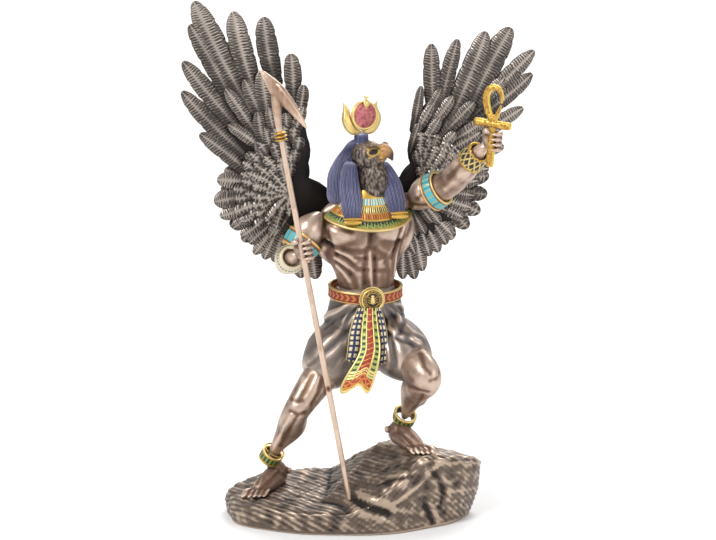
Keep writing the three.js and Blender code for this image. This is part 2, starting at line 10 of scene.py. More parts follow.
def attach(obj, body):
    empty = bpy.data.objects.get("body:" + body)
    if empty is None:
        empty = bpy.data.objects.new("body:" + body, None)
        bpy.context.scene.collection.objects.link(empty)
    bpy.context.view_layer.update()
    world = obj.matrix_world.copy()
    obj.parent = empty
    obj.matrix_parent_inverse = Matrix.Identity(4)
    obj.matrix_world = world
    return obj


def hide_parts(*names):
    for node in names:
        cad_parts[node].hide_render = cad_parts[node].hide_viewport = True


bpy.ops.wm.read_factory_settings(use_empty=True)
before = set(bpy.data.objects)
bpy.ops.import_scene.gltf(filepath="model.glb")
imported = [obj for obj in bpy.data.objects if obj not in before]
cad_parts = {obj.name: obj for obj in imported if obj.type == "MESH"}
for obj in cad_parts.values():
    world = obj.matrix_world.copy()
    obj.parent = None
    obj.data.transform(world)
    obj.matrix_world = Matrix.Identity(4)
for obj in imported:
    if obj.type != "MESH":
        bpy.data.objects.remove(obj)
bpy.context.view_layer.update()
chance = np.random.default_rng(11)

# Every form is built in millimetres and made metres when its piece is finished.
# +Z is up and -Y faces the viewer. Right and left are the figure's own: its right side is at -X.


# Small maths
def vec(*values):
    return np.array(values, float)


def unit(v):
    return v / np.linalg.norm(v)


def mix(a, b, t):
    return a + (b - a) * t


def smooth(x, low, high):
    t = np.clip((x - low) / (high - low), 0, 1)
    return t * t * (3 - 2 * t)


def hill(x, centre, width):
    return np.exp(-(((x - centre) / width) ** 2))


def facing(yaw):  # yaw 0 looks at the viewer
    return vec(math.sin(math.radians(yaw)), -math.cos(math.radians(yaw)), 0)


def leftOf(yaw):
    return vec(math.cos(math.radians(yaw)), math.sin(math.radians(yaw)), 0)


def between(a, b, share):
    return a + (b - a) * share


def square(direction, axis):
    return unit(direction - axis * direction.dot(axis))


def through(points, t):  # a smooth curve through the listed points, for t from 0 to 1
    points = np.array(points, float)
    flat = points.ndim == 1
    if flat:
        points = points[:, None]
    padded = np.vstack([2 * points[0] - points[1], points, 2 * points[-1] - points[-2]])
    s = np.clip(t, 0, 1) * (len(points) - 1)
    i = np.minimum(s.astype(int), len(points) - 2)
    f = (s - i)[:, None]
    a, b, c, d = padded[i], padded[i + 1], padded[i + 2], padded[i + 3]
    made = b + 0.5 * f * (c - a + f * (2 * a - 5 * b + 4 * c - d + f * (3 * (b - c) + d - a)))
    return made[:, 0] if flat else made


# Mesh tools
def pointsOf(mesh):
    flat = np.empty(len(mesh.vertices) * 3, np.float32)
    mesh.vertices.foreach_get("co", flat)
    return flat.reshape(-1, 3).astype(float)


def setPoints(mesh, points):
    mesh.vertices.foreach_set("co", points.astype(np.float32).ravel())
    mesh.update()


def normalsOf(mesh):
    flat = np.empty(len(mesh.vertices) * 3, np.float32)
    mesh.vertex_normals.foreach_get("vector", flat)
    return flat.reshape(-1, 3).astype(float)


def formed(kind, place, **size):  # a bmesh primitive whose points are moved by place
    bm = bmesh.new()
    getattr(bmesh.ops, "create_" + kind)(bm, **size)
    mesh = bpy.data.meshes.new("form")
    bm.to_mesh(mesh)
    bm.free()
    setPoints(mesh, place(pointsOf(mesh)))
    return mesh


def joined(meshes):
    bm = bmesh.new()
    for mesh in meshes:
        bm.from_mesh(mesh)
        bpy.data.meshes.remove(mesh)
    bmesh.ops.recalc_face_normals(bm, faces=bm.faces)
    made = bpy.data.meshes.new("joined")
    bm.to_mesh(made)
    bm.free()
    return made


def edgesOf(mesh):
    flat = np.empty(len(mesh.edges) * 2, np.int32)
    mesh.edges.foreach_get("vertices", flat)
    return flat.reshape(-1, 2)


def relaxed(values, edges, rounds, share=0.5):  # each point moves towards the middle of its neighbours
    count = len(values)
    ends = np.concatenate([edges[:, 0], edges[:, 1]])
    others = np.concatenate([edges[:, 1], edges[:, 0]])
    degree = np.maximum(np.bincount(ends, minlength=count), 1)[:, None]
    for _ in range(rounds):
        sums = [np.bincount(ends, weights=values[others, k], minlength=count) for k in range(values.shape[1])]
        values = mix(values, np.stack(sums, 1) / degree, share)
    return values


def modified(mesh, kind, **settings):  # the mesh after one modifier
    body = bpy.data.objects.new("work", mesh)
    bpy.context.scene.collection.objects.link(body)
    modifier = body.modifiers.new("work", kind)
    for name, value in settings.items():
        setattr(modifier, name, value)
    made = bpy.data.meshes.new_from_object(body.evaluated_get(bpy.context.evaluated_depsgraph_get()))
    bpy.data.objects.remove(body)
    return made


def clay(meshes, grain, rounds):  # forms that run into each other become one skin
    skin = modified(joined(meshes), "REMESH", mode="VOXEL", voxel_size=grain)
    setPoints(skin, relaxed(pointsOf(skin), edgesOf(skin), rounds))
    return skin


def note(mesh, name, values):  # a number on each point, which a material reads by name
    layer = mesh.attributes.new(name, "FLOAT", "POINT")
    layer.data.foreach_set("value", np.asarray(values, np.float32))


def noteColour(mesh, name, colours):
    layer = mesh.attributes.new(name, "FLOAT_COLOR", "POINT")
    opaque = np.column_stack([colours, np.ones(len(colours))])
    layer.data.foreach_set("color", opaque.astype(np.float32).ravel())


def noteRelief(mesh, depth=0.35, rounds=12):  # 0 in a hollow, 0.5 on the flat, 1 on a ridge
    points, edges = pointsOf(mesh), edgesOf(mesh)
    rise = ((points - relaxed(points, edges, rounds)) * normalsOf(mesh)).sum(1)
    rise = relaxed(rise[:, None], edges, 1)[:, 0]
    note(mesh, "relief", np.clip(0.5 + 0.5 * rise / depth, 0, 1))


def grain(points, size, seed=0, kind=noise.noise):
    places = (points / size + seed * 17.3).tolist()
    return np.fromiter((kind(Vector(p)) for p in places), float, len(places))


# The camera, by the photograph: 10 degrees above the figure and 1.2 m away
view = {
    "elevation": 10,
    "distance": 1200,
    "target": vec(7.1, 0, 135),
    "focal": 2196.6,  # in pixels of the photograph
    "middle": (358, 270),
}
viewAhead = vec(0, math.cos(math.radians(view["elevation"])), -math.sin(math.radians(view["elevation"])))
viewUp = vec(0, -viewAhead[2], viewAhead[1])
eye = view["target"] - view["distance"] * viewAhead


def sightLine(pixel):
    across = (pixel[0] - view["middle"][0]) / view["focal"]
    rise = (view["middle"][1] - pixel[1]) / view["focal"]
    return unit(viewAhead + across * vec(1, 0, 0) + rise * viewUp)


def pixelOf(points):  # where the photograph shows each point
    away = (points - eye) @ viewAhead
    across = view["middle"][0] + view["focal"] * (points - eye)[:, 0] / away
    down = view["middle"][1] - view["focal"] * ((points - eye) @ viewUp) / away
    return across, down


def atDepth(pixels, y):  # the points that the photograph shows at those pixels, at a given depth
    across = (pixels[:, 0] - view["middle"][0]) / view["focal"]
    rise = (view["middle"][1] - pixels[:, 1]) / view["focal"]
    line = viewAhead + across[:, None] * vec(1, 0, 0) + rise[:, None] * viewUp
    return eye + line * ((y - eye[1]) / line[:, 1])[:, None]


def traced(tree, pixels, step=1.5):  # where a line drawn on the photograph falls on a form
    marks = []
    for a, b in zip(pixels, pixels[1:] or pixels):
        count = max(1, round(math.dist(a, b) / step))
        marks += [(mix(a[0], b[0], i / count), mix(a[1], b[1], i / count)) for i in range(count + 1)]
    hits = [tree.ray_cast(Vector(eye), Vector(sightLine(mark)))[0] for mark in marks]
    return np.array([tuple(hit) for hit in hits if hit])


def carved(mesh, strokes):  # each stroke is (height, half width, the pixels that it runs through)
    points, normals = pointsOf(mesh), normalsOf(mesh)
    tree = BVHTree.FromPolygons(points.tolist(), [tuple(p.vertices) for p in mesh.polygons])
    rise = np.zeros(len(points))
    for height, halfWidth, pixels in strokes:
        line = traced(tree, pixels)
        if len(line) == 0:
            continue
        reach = 2.5 * halfWidth
        near = np.all((points > line.min(0) - reach) & (points < line.max(0) + reach), 1).nonzero()[0]
        for start in range(0, len(near), 20000):
            some = near[start:start + 20000]
            distance = np.sqrt(((points[some, None] - line[None]) ** 2).sum(2)).min(1)
            rise[some] += height * hill(distance, 0, halfWidth)
    setPoints(mesh, points + normals * rise[:, None])


# Forms
def limbPoints(spec, t, angle, cap, extra=0):
    spine = spec["spine"]
    ahead = np.array(spec.get("ahead", (0, -1, 0)), float)
    centre = through(spine, t)
    tangent = through(spine, np.minimum(t + 0.01, 1)) - through(spine, np.maximum(t - 0.01, 0))
    side = np.cross(tangent, ahead)
    side /= np.linalg.norm(side, axis=1)[:, None]
    forward = np.cross(side, tangent)
    forward /= np.linalg.norm(forward, axis=1)[:, None]
    width = through(spec["width"], t)
    depth = through(spec.get("depth", spec["width"]), t)
    swell = spec["swell"](t, angle) if "swell" in spec else 0
    across = ((width + swell + extra) * cap * np.sin(angle))[:, None]
    along = ((depth + swell + extra) * cap * np.cos(angle))[:, None]
    return centre + side * across + forward * along


def limb(spec, sides=28, rings=36):
    blunt = spec.get("blunt", 0.4)

    def place(p):
        polar = np.arccos(np.clip(p[:, 2], -1, 1))
        return limbPoints(spec, polar / math.pi, np.arctan2(p[:, 0], p[:, 1]), np.sin(polar) ** blunt)

    return formed("uvsphere", place, u_segments=sides, v_segments=rings, radius=1)


def stack(rows, yaw, sides=96, rings=96, swell=None, blunt=0.25):  # rows of [z, x, y, half width, half depth]
    rows = np.array(rows, float)

    def place(p):
        polar = np.arccos(np.clip(p[:, 2], -1, 1))
        t, angle, cap = polar / math.pi, np.arctan2(p[:, 0], p[:, 1]), np.sin(polar) ** blunt
        z, x, y, width, depth = through(rows, t).T
        more = swell(t, angle) if swell else 0
        centre = np.stack([x, y, z], 1)
        across = ((width + more) * cap * np.sin(angle))[:, None]
        forward = ((depth + more) * cap * np.cos(angle))[:, None]
        return centre + leftOf(yaw) * across + facing(yaw) * forward

    return formed("uvsphere", place, u_segments=sides, v_segments=rings, radius=1)


def lump(centre, size, yaw=0, tilt=0, detail=24):  # size is across, up and ahead; tilt leans its top to the left
    lean = math.radians(tilt)

    def place(p):
        across = leftOf(yaw) * math.cos(lean) - vec(0, 0, 1) * math.sin(lean)
        rise = vec(0, 0, 1) * math.cos(lean) + leftOf(yaw) * math.sin(lean)
        return centre + p[:, :1] * size[0] * across + p[:, 2:] * size[1] * rise + p[:, 1:2] * size[2] * facing(yaw)

    return formed("uvsphere", place, u_segments=detail, v_segments=detail // 2, radius=1)


palette = {  # colour and how metallic it is
    "gold": ((0.6, 0.37, 0.08), 0.85), "pale gold": ((0.78, 0.6, 0.24), 0.8), "orange": ((0.62, 0.2, 0.05), 0.3),
    "red": ((0.32, 0.035, 0.02), 0.1), "turquoise": ((0.08, 0.4, 0.44), 0), "green": ((0.1, 0.2, 0.05), 0.1),
    "light green": ((0.34, 0.38, 0.1), 0.3), "black": ((0.018, 0.016, 0.016), 0.1), "cream": ((0.72, 0.62, 0.42), 0.2),
    "navy": ((0.02, 0.026, 0.075), 0), "silver": ((0.62, 0.6, 0.56), 0.8),
}


def pattern(ground, height, *layers):  # a relief of painted layers; each is (where, colour, height)
    colour = np.tile(palette[ground][0], (len(height), 1))
    metal = np.full(len(height), float(palette[ground][1]))
    for where, name, rise in layers:
        colour[where], metal[where] = palette[name]
        height = np.where(where, rise, height)
    return colour, metal, height


def strip(surface, paint, columns, rows, centre, thick=1.2, wrap=False):
    # paint(u, v) gives colour, metal and height; surface(u, v, height) puts the points; u runs along and v across
    made = {}

    def place(p):
        u, v = (p[:, 0] + 1) / 2, (p[:, 1] + 1) / 2
        made["colour"], made["metal"], made["height"] = paint(u, v)
        return surface(u, v, made["height"])

    mesh = formed("grid", place, x_segments=columns, y_segments=rows, size=1)
    noteColour(mesh, "paint", made["colour"])
    note(mesh, "metal", made["metal"])
    note(mesh, "relief", np.clip(0.42 + 0.5 * made["height"], 0, 1))
    if wrap:
        mesh = modified(mesh, "WELD", merge_threshold=0.01)
    if ((pointsOf(mesh) - centre) * normalsOf(mesh)).sum() < 0:
        mesh.flip_normals()
    return modified(mesh, "SOLIDIFY", thickness=thick, offset=-1)


def plainly(mesh, name, depth=0.3, rounds=10):  # one colour all over
    colour, metal = palette[name]
    noteColour(mesh, "paint", np.tile(colour, (len(mesh.vertices), 1)))
    note(mesh, "metal", np.full(len(mesh.vertices), metal))
    noteRelief(mesh, depth, rounds)
    return mesh

# Shaders
class Wire:  # a socket that can be used in sums
    def __init__(self, finish, socket):
        self.finish, self.socket = finish, socket

    def sum(self, operation, *values):
        return self.finish.node("ShaderNodeMath", {"operation": operation}, *values)

    def __add__(self, other):
        return self.sum("ADD", self, other)

    def __sub__(self, other):
        return self.sum("SUBTRACT", self, other)

    def __rsub__(self, other):
        return self.sum("SUBTRACT", other, self)

    def __mul__(self, other):
        return self.sum("MULTIPLY", self, other)

    def __truediv__(self, other):
        return self.sum("DIVIDE", self, other)

    def __pow__(self, other):
        return self.sum("POWER", self, other)

    def __gt__(self, other):
        return self.sum("GREATER_THAN", self, other)

    __radd__ = __add__
    __rmul__ = __mul__


class Finish:  # one material and the nodes that make it
    def __init__(self, name, **constants):
        self.material = bpy.data.materials.new(name)
        self.material.use_nodes = True
        self.tree = self.material.node_tree
        self.shader = self.tree.nodes["Principled BSDF"]
        for socket, value in constants.items():
            self.shader.inputs[socket.replace("_", " ")].default_value = value

    def put(self, socket, value):
        if isinstance(value, Wire):
            self.tree.links.new(value.socket, socket)
        elif socket.type == "RGBA" and not isinstance(value, (int, float)):
            socket.default_value = (*value[:3], 1)
        else:
            socket.default_value = value

    def node(self, kind, settings=None, *values, out=0, **named):
        node = self.tree.nodes.new(kind)
        for name, value in (settings or {}).items():
            setattr(node, name, value)
        for index, value in enumerate(values):
            self.put(node.inputs[index], value)
        for name, value in named.items():
            self.put(node.inputs[name.replace("_", " ")], value)
        return Wire(self, node.outputs[out])

    def attribute(self, name, out="Fac"):
        return self.node("ShaderNodeAttribute", {"attribute_name": name}, out=out)

    def place(self):
        return self.node("ShaderNodeTexCoord", out="Object")

    def noise(self, size, detail=4, rough=0.6, stretch=None):  # size in millimetres
        where = self.place()
        if stretch:
            where = self.node("ShaderNodeMapping", {}, where, Scale=stretch)
        settings = {"noise_dimensions": "3D"}
        return self.node("ShaderNodeTexNoise", settings, Vector=where, Scale=1000 / size, Detail=detail, Roughness=rough)

    def blend(self, factor, low, high, kind="MIX"):
        settings = {"data_type": "RGBA", "blend_type": kind, "clamp_factor": True}
        node = self.tree.nodes.new("ShaderNodeMix")
        for name, value in settings.items():
            setattr(node, name, value)
        for index, value in ((0, factor), (6, low), (7, high)):
            self.put(node.inputs[index], value)
        return Wire(self, node.outputs[2])

    def ramp(self, value, low, high):  # 0 below low, 1 above high
        settings = {"interpolation_type": "SMOOTHSTEP"}
        return self.node("ShaderNodeMapRange", settings, value, low, high)

    def bump(self, height, depth, strength=1.0):  # depth in millimetres
        return self.node("ShaderNodeBump", {}, strength, depth / 1000, Height=height)

    def finish(self, **sockets):
        for name, value in sockets.items():
            self.put(self.shader.inputs[name.replace("_", " ")], value)
        return self.material


def castBronze(name, dark, middle, light, metal=0.75, seed=0.0, low=0.3, high=0.72):
    # cold-cast bronze: dark patina left in the hollows, pale metal brushed over the ridges
    f = Finish(name, Metallic=metal)
    relief = f.attribute("relief")
    cloud = f.noise(14, 5)
    fleck = f.noise(1.1, 6, 0.7)
    height = relief + (cloud - 0.5) * 0.22 + (fleck - 0.5) * 0.16 + seed
    colour = f.blend(f.ramp(height, low - 0.22, 0.52), dark, middle)
    colour = f.blend(f.ramp(height, 0.52, high + 0.12), colour, light)
    rough = 0.5 - f.ramp(height, 0.35, 0.8) * 0.14 + (fleck - 0.5) * 0.16
    return f.finish(Base_Color=colour, Roughness=rough, Normal=f.bump(fleck, 0.05))


def enamel(name):  # painted and gilded ornament: the paint attribute over bronze, worn on its ridges
    f = Finish(name)
    relief = f.attribute("relief")
    paint = f.attribute("paint", "Color")
    metal = f.attribute("metal")
    fleck = f.noise(0.9, 5, 0.65)
    patina = f.noise(5, 4)
    dark = f.ramp(relief + (patina - 0.5) * 0.5, 0.2, 0.5)
    colour = f.blend(dark, f.blend(0.75, paint, (0.03, 0.02, 0.012)), paint)
    colour = f.blend(f.ramp(relief + (fleck - 0.5) * 0.4, 0.7, 1.0) * 0.3, colour, (0.8, 0.66, 0.38))
    rough = 0.46 - metal * 0.1 + (fleck - 0.5) * 0.2
    return f.finish(Base_Color=colour, Metallic=metal, Roughness=rough, Normal=f.bump(fleck, 0.05))


skinBronze = castBronze("skin_bronze", (0.03, 0.017, 0.012), (0.19, 0.115, 0.08), (0.62, 0.47, 0.38))
rockBronze = castBronze("rock_bronze", (0.03, 0.024, 0.02), (0.15, 0.112, 0.088), (0.48, 0.37, 0.28), low=0.34)
ornament = enamel("ornament")
kiltBronze = castBronze("kilt_bronze", (0.03, 0.035, 0.045), (0.17, 0.14, 0.125), (0.6, 0.48, 0.4))
staffBronze = castBronze("staff_bronze", (0.1, 0.055, 0.035), (0.36, 0.22, 0.15), (0.72, 0.55, 0.43))
clothBronze = castBronze("cloth_bronze", (0.008, 0.01, 0.03), (0.035, 0.04, 0.115), (0.3, 0.29, 0.42), metal=0.2)
featherBronze = castBronze("feather_bronze", (0.016, 0.013, 0.012), (0.085, 0.072, 0.064), (0.44, 0.38, 0.33))


def piece(name, mesh, material, slot, *nodes, smoothed=True):
    bm = bmesh.new()
    bm.from_mesh(mesh)
    bmesh.ops.recalc_face_normals(bm, faces=bm.faces)
    bmesh.ops.scale(bm, vec=(0.001, 0.001, 0.001), verts=bm.verts)
    bm.to_mesh(mesh)
    bm.free()
    mesh.materials.clear()
    mesh.materials.append(material)
    mesh.polygons.foreach_set("use_smooth", [smoothed] * len(mesh.polygons))
    body = bpy.data.objects.new(name, mesh)
    mesh.name = name
    bpy.context.scene.collection.objects.link(body)
    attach(body, "root")
    if nodes:
        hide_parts(*nodes)
    mesh.calc_loop_triangles()
    print(f"{name}: {len(mesh.loop_triangles)} triangles")
    return body


# Skeleton
pelvisYaw, chestYaw, clothYaw, headYaw, crownYaw = 13, 17, 45, 57, 32
joint = {
    "rightShoulder": vec(-11.5, -5, 165.5), "leftShoulder": vec(35, 9, 169.5),
    "rightElbow": vec(-30.5, -13, 142.5), "leftElbow": vec(56.5, -4, 183.5),
    "rightWrist": vec(-28.5, -29, 146.5), "leftWrist": vec(71.5, -21, 202.5),
    "rightFist": vec(-22.3, -38.8, 152.3), "leftFist": vec(77.4, -30, 209.5),
    "rightHip": vec(3.5, 4, 101), "leftHip": vec(20, 6, 100),
    "rightKnee": vec(-26, -18, 61), "leftKnee": vec(43.5, -31, 82.5),
    "rightAnkle": vec(-42.5, -4, 29), "leftAnkle": vec(31.8, -9, 53),
}
staffFoot = vec(3.3, -36, 11.5)
staffLine = unit(vec(-33.4, -40, 213.1) - staffFoot)
ankhUp = unit(vec(0.05, -0.1, 1))
ankhSide = square(vec(0.85, -0.49, -0.19), ankhUp)
ankhFront = np.cross(ankhSide, ankhUp)


# Rock
rockShape = {
    "halfWidth": 66.5, "halfDepth": 41, "middle": -9,
    "ledge": 11.6, "crest": 39.6, "crestX": 33, "crestY": -20,
    "aheadX": -0.79, "aheadY": -0.61,  # the way down from the crest to the lip
    "columns": 220, "rings": 140,
}


def rockTop(x, y):
    r = rockShape
    down = (x - r["crestX"]) * r["aheadX"] + (y - r["crestY"]) * r["aheadY"]
    along = (x - r["crestX"]) * r["aheadY"] - (y - r["crestY"]) * r["aheadX"]
    slope = 0.72 * np.maximum(0, down - 3) + 0.24 * np.maximum(0, -down - 4) + 0.55 * np.maximum(0, along - 20)
    ledge = r["ledge"] + 0.06 * (y + 50) - 0.09 * np.maximum(0, -x - 40)
    return np.maximum(r["crest"] - slope, ledge) + 0.6 * np.sin(0.35 * x + 0.2 * y) * np.cos(0.31 * y)


def rockPoints(p):
    r = rockShape
    t = np.arccos(np.clip(p[:, 2], -1, 1)) / math.pi
    angle = np.arctan2(p[:, 1], p[:, 0])
    stations = [0, 0.42, 0.5, 0.6, 0.8, 1]
    share = np.interp(t, stations, [0, 0.93, 0.985, 1.015, 1, 0])
    drop = np.interp(t, stations, [0, 0, 0.06, 0.5, 1, 1])
    bays = 1 + 0.02 * np.sin(3 * angle + 0.6) + 0.015 * np.cos(5 * angle) + 0.012 * np.sin(9 * angle)
    overhang = 1 + 0.12 * hill(angle, -0.1, 0.5) * (1 - drop) * smooth(share, 0.5, 0.9)
    reach = share * bays * overhang
    x = r["halfWidth"] * reach * np.cos(angle)
    y = r["middle"] + r["halfDepth"] * reach * np.sin(angle)
    return np.stack([x, y, rockTop(x, y) * (1 - drop)], 1)


rockStrokes = [
    (-2.6, 2.2, [(352, 497), (362, 504), (375, 510), (388, 514)]),
    (-1.2, 1.6, [(425, 506), (430, 514), (433, 523)]),
    (-1.0, 1.2, [(353, 458), (358, 450), (365, 444), (372, 441)]),
    (-0.9, 1.1, [(380, 484), (396, 478), (412, 477)]),
    (0.9, 1.6, [(356, 497), (372, 500), (390, 505), (404, 497), (418, 486), (428, 475), (440, 462), (456, 456), (476, 460)]),
    (-0.8, 1.4, [(432, 472), (440, 480), (444, 494), (440, 508)]),
    (-0.6, 0.9, [(300, 494), (320, 486), (340, 480)]),
    (-0.6, 0.9, [(286, 500), (306, 500), (330, 504)]),
]


def makeRock():
    mesh = formed("uvsphere", rockPoints, u_segments=rockShape["columns"], v_segments=rockShape["rings"], radius=1)
    points, normals = pointsOf(mesh), normalsOf(mesh)
    wall = 1 - smooth(normals[:, 2], 0.2, 0.8)
    chips = grain(points, 7, 1, lambda p: noise.ridged_multi_fractal(p, 0.9, 2.1, 5, 1.0, 2.0))
    chips = relaxed(chips[:, None], edgesOf(mesh), 1)[:, 0]
    cells = grain(points * vec(1, 1, 1.6), 9, 2, lambda p: noise.voronoi(p)[0][0])
    layers = np.sin((points @ vec(0.55, 0.5, 0.9)) * 2.1 + 2.4 * grain(points, 16, 3))
    fine = grain(points, 1.7, 4)
    rise = 0.45 * (chips - 1.1) + 0.9 * (cells - 0.35) * (0.3 + 0.7 * wall) + 0.22 * layers + 0.16 * fine
    rise *= smooth(points[:, 2], 0.3, 3)  # the underside stays flat
    setPoints(mesh, points + normals * rise[:, None])
    carved(mesh, rockStrokes)
    points = pointsOf(mesh)
    points[:, 2] = np.maximum(points[:, 2], 0)
    setPoints(mesh, points)
    noteRelief(mesh, 0.4, 8)
    piece("rock", mesh, rockBronze, "rock", "rock_base")


makeRock()


# Body: bare skin, made of limbs and muscles that run into each other
torsoRows = [
    [108, 11.3, 5, 19, 14], [122, 11.3, 5, 18.2, 13.6], [130, 11.3, 5, 17.4, 12.8], [140, 10.8, 4.6, 19.6, 13.4],
    [151, 10, 4.2, 22.6, 14.8], [162, 10.8, 4, 23.4, 14.4], [170, 13, 3.4, 16.5, 11.5], [180, 14.4, 2.6, 9.4, 9.4],
]


def torsoSwell(t, angle):
    side = np.abs(angle)
    breast = 2.6 * hill(t, 0.66, 0.1) * hill(side, 0.5, 0.36)
    groove = -1.2 * hill(t, 0.62, 0.18) * hill(angle, 0, 0.1)
    back = 1.6 * hill(t, 0.62, 0.2) * hill(side, 2.3, 0.4)
    spine = -2.2 * hill(side, math.pi, 0.2) * hill(t, 0.45, 0.4)
    return breast + groove + back + spine


def armOf(shoulder, elbow, wrist, fist, width, depth, ahead):
    spine = [shoulder, between(shoulder, elbow, 0.5), elbow, between(elbow, wrist, 0.35), wrist, between(wrist, fist, 0.6)]
    return {"spine": spine, "width": width, "depth": depth, "ahead": ahead}


def legOf(hip, knee, ankle, calf, width, depth, ahead):
    spine = [hip, between(hip, knee, 0.5), knee, between(knee, ankle, 0.35) + calf, between(knee, ankle, 0.7) + 0.4 * calf, ankle]
    return {"spine": spine, "width": width, "depth": depth, "ahead": ahead}


rightArm = armOf(
    joint["rightShoulder"], joint["rightElbow"], joint["rightWrist"], joint["rightFist"],
    [10.4, 9.6, 7, 7.2, 5, 4.6], [10.8, 9.8, 7.2, 7, 4.8, 4.2], vec(0.8, -0.2, 1),
)
leftArm = armOf(
    joint["leftShoulder"], joint["leftElbow"], joint["leftWrist"], joint["leftFist"],
    [10.4, 9.6, 7.8, 7.6, 5, 4.8], [10.6, 9.6, 7.4, 7.2, 4.8, 4.2], vec(-0.3, -1, 0.4),
)
rightLeg = legOf(
    joint["rightHip"], joint["rightKnee"], joint["rightAnkle"], vec(2.2, 3, 0),
    [13, 11.6, 7.4, 7.8, 5.2, 4.3], [13.5, 12, 8, 8.6, 5.6, 4.8], vec(-0.4, -1, 0.1),
)
leftLeg = legOf(
    joint["leftHip"], joint["leftKnee"], joint["leftAnkle"], vec(-1.6, 3.4, 0),
    [13, 12.4, 8.8, 7.9, 5.4, 4.4], [13.5, 12.4, 9.2, 8.8, 5.8, 5], vec(0.5, -1, 0.6),
)


def handForms(centre, bar, wrist):
    back = square(wrist - centre, bar)  # from the bar to the wrist
    out = -np.cross(bar, back)

    def at(along, backward, outward):
        return centre + bar * along + back * backward + out * outward

    forms = [
        limb({"spine": [at(-5.6, 3, 0.8), at(0, 3.8, 1), at(5.2, 3.2, 0.6)], "width": [2.6, 3.4, 2.8],
              "depth": [2.8, 3.3, 2.8], "ahead": back}, 24, 20),
        limb({"spine": [at(4, 3.6, -1.2), at(5.4, 0.6, -3.6), at(4.8, -2.6, -3.4)], "width": [2.2, 1.8, 1.5],
              "ahead": bar, "blunt": 0.6}, 18, 20),
    ]
    for finger in range(4):
        along = 4.1 - 2.8 * finger
        thick = 1.5 - 0.06 * finger
        knuckle = at(along, 1.9, 3.7)
        forms.append(limb({
            "spine": [at(along, 2.8, 2.8), knuckle, at(along, -1.2, 4.3), at(along, -3.6, 2.6), at(along, -4, -0.2), at(along, -1.8, -2.8)],
            "width": [thick * 1.1, thick * 1.12, thick * 0.96, thick * 1.06, thick * 0.92, thick * 0.8],
            "ahead": bar, "blunt": 0.6,
        }, 16, 28))
    return forms


def footForms(heel, toes, ankle, bigToe):
    ahead = unit((toes - heel) * vec(1, 1, 0))
    side = np.cross(ahead, vec(0, 0, 1)) * bigToe

    def at(share, across, height):
        return between(heel, toes, share) + side * across + vec(0, 0, height)

    forms = [
        limb({"spine": [at(-0.02, 0, 1), at(0.22, 0, 2.6), at(0.55, 0.4, 1.4), at(0.86, 0.2, -0.1)],
              "width": [3.6, 4.8, 5.7, 6.3], "depth": [4, 5.2, 4, 2.5], "ahead": vec(0, 0, 1)}, 28, 28),
        limb({"spine": [ankle, at(0.2, 0, 6), at(0.3, 0, 2)], "width": [4.4, 4.6, 4.8], "depth": [4.8, 5.4, 6],
              "ahead": ahead}, 24, 20),
        limb({"spine": [at(0.1, 0, 9), at(0.4, 0.8, 6.4), at(0.8, 1.6, 2.4)], "width": [3.4, 3.8, 4.4],
              "depth": [3, 3, 2], "ahead": vec(0, 0, 1)}, 20, 20),
        lump(at(0.14, 4.4, 6.6), (1.8, 2, 2)),
        lump(at(0.1, -4.4, 5.8), (1.8, 2, 2)),
    ]
    for toe, across in enumerate((5.2, 2, -0.5, -2.9, -5.1)):
        size = 1.95 if toe == 0 else 1.4 - 0.05 * toe
        back = 0.72 - 0.03 * toe
        tip = 1.02 - 0.035 * toe
        forms.append(limb({
            "spine": [at(back, across * 0.8, 0.8), at(back + 0.14, across, 0.9), at(tip - 0.07, across, -0.3), at(tip, across, -0.9)],
            "width": [size * 0.8, size * 0.85, size, size * 0.8], "depth": [size * 0.7, size * 0.9, size * 0.9, size * 0.6],
            "ahead": vec(0, 0, 1), "blunt": 0.5,
        }, 16, 20))
    return forms


muscles = [  # points along each, and how wide and deep it is there
    ([(-13, -4, 167), (2, 2.5, 170.5), (16, 4.5, 172.5), (28, 6.5, 172), (36, 8.5, 170)], [7.5, 8, 8.5, 8, 7.5], [8, 9, 9, 9, 8]),
    ([(-14, -7, 160), (-5, -9.5, 157.5), (3, -9, 157), (9, -7.5, 158)], [6, 7.2, 7, 4.5], [5, 5.2, 4.8, 3]),  # breast
    ([(14, -7.5, 158), (20, -6, 158), (28, -2, 160), (34, 3, 164)], [4.5, 7, 7.4, 6], [3, 4.8, 5.2, 5]),
    ([(-12, -2, 160), (-12.5, 2, 150), (-8.5, 3, 138)], [5, 5.4, 3], [9, 10, 7]),  # flanks
    ([(36, 8, 165), (32.5, 8, 153), (28, 8, 139)], [4.6, 5, 3], [9, 10, 7]),
    ([(-13, -6, 168), (-20, -10, 158), (-26, -12, 149)], [6, 8.6, 5], [7.5, 8.6, 6]),  # right upper arm
    ([(34, 7, 172), (44, 3, 178), (54, -2, 183)], [6, 8.4, 6], [7, 9.4, 6.5]),  # left upper arm
    ([(58, -6, 186), (64, -12, 192.5), (70, -19, 200)], [6, 7.6, 4.6], [6, 7.6, 5]),  # left forearm
    ([(-30, -16, 144.5), (-29.5, -22, 145.5)], [7, 6.6], [6.4, 6]),  # right forearm
    ([(1, 0, 96), (-9, -9, 80), (-19, -15.5, 67)], [8.5, 9.2, 5], [9, 9.5, 6]),  # right thigh
    ([(23, 0, 98), (34, -16, 93), (42, -27, 87)], [8.5, 9.2, 5.6], [8.5, 9, 6]),  # left thigh
    ([(-25, -20.5, 64.5), (-26.5, -20.5, 59.5)], [5, 4.6], [4, 4]),  # knees
    ([(42.5, -35, 85), (43.5, -35.5, 80)], [5, 4.8], [4, 4]),
    ([(-28, -10.5, 56), (-31, -4, 46), (-36, -1, 38)], [5, 6.6, 3.6], [5, 6.6, 4]),  # calves
    ([(42, -22, 76), (39, -13, 68), (35.5, -8, 60)], [5, 6.6, 3.6], [5, 6.8, 4]),
]

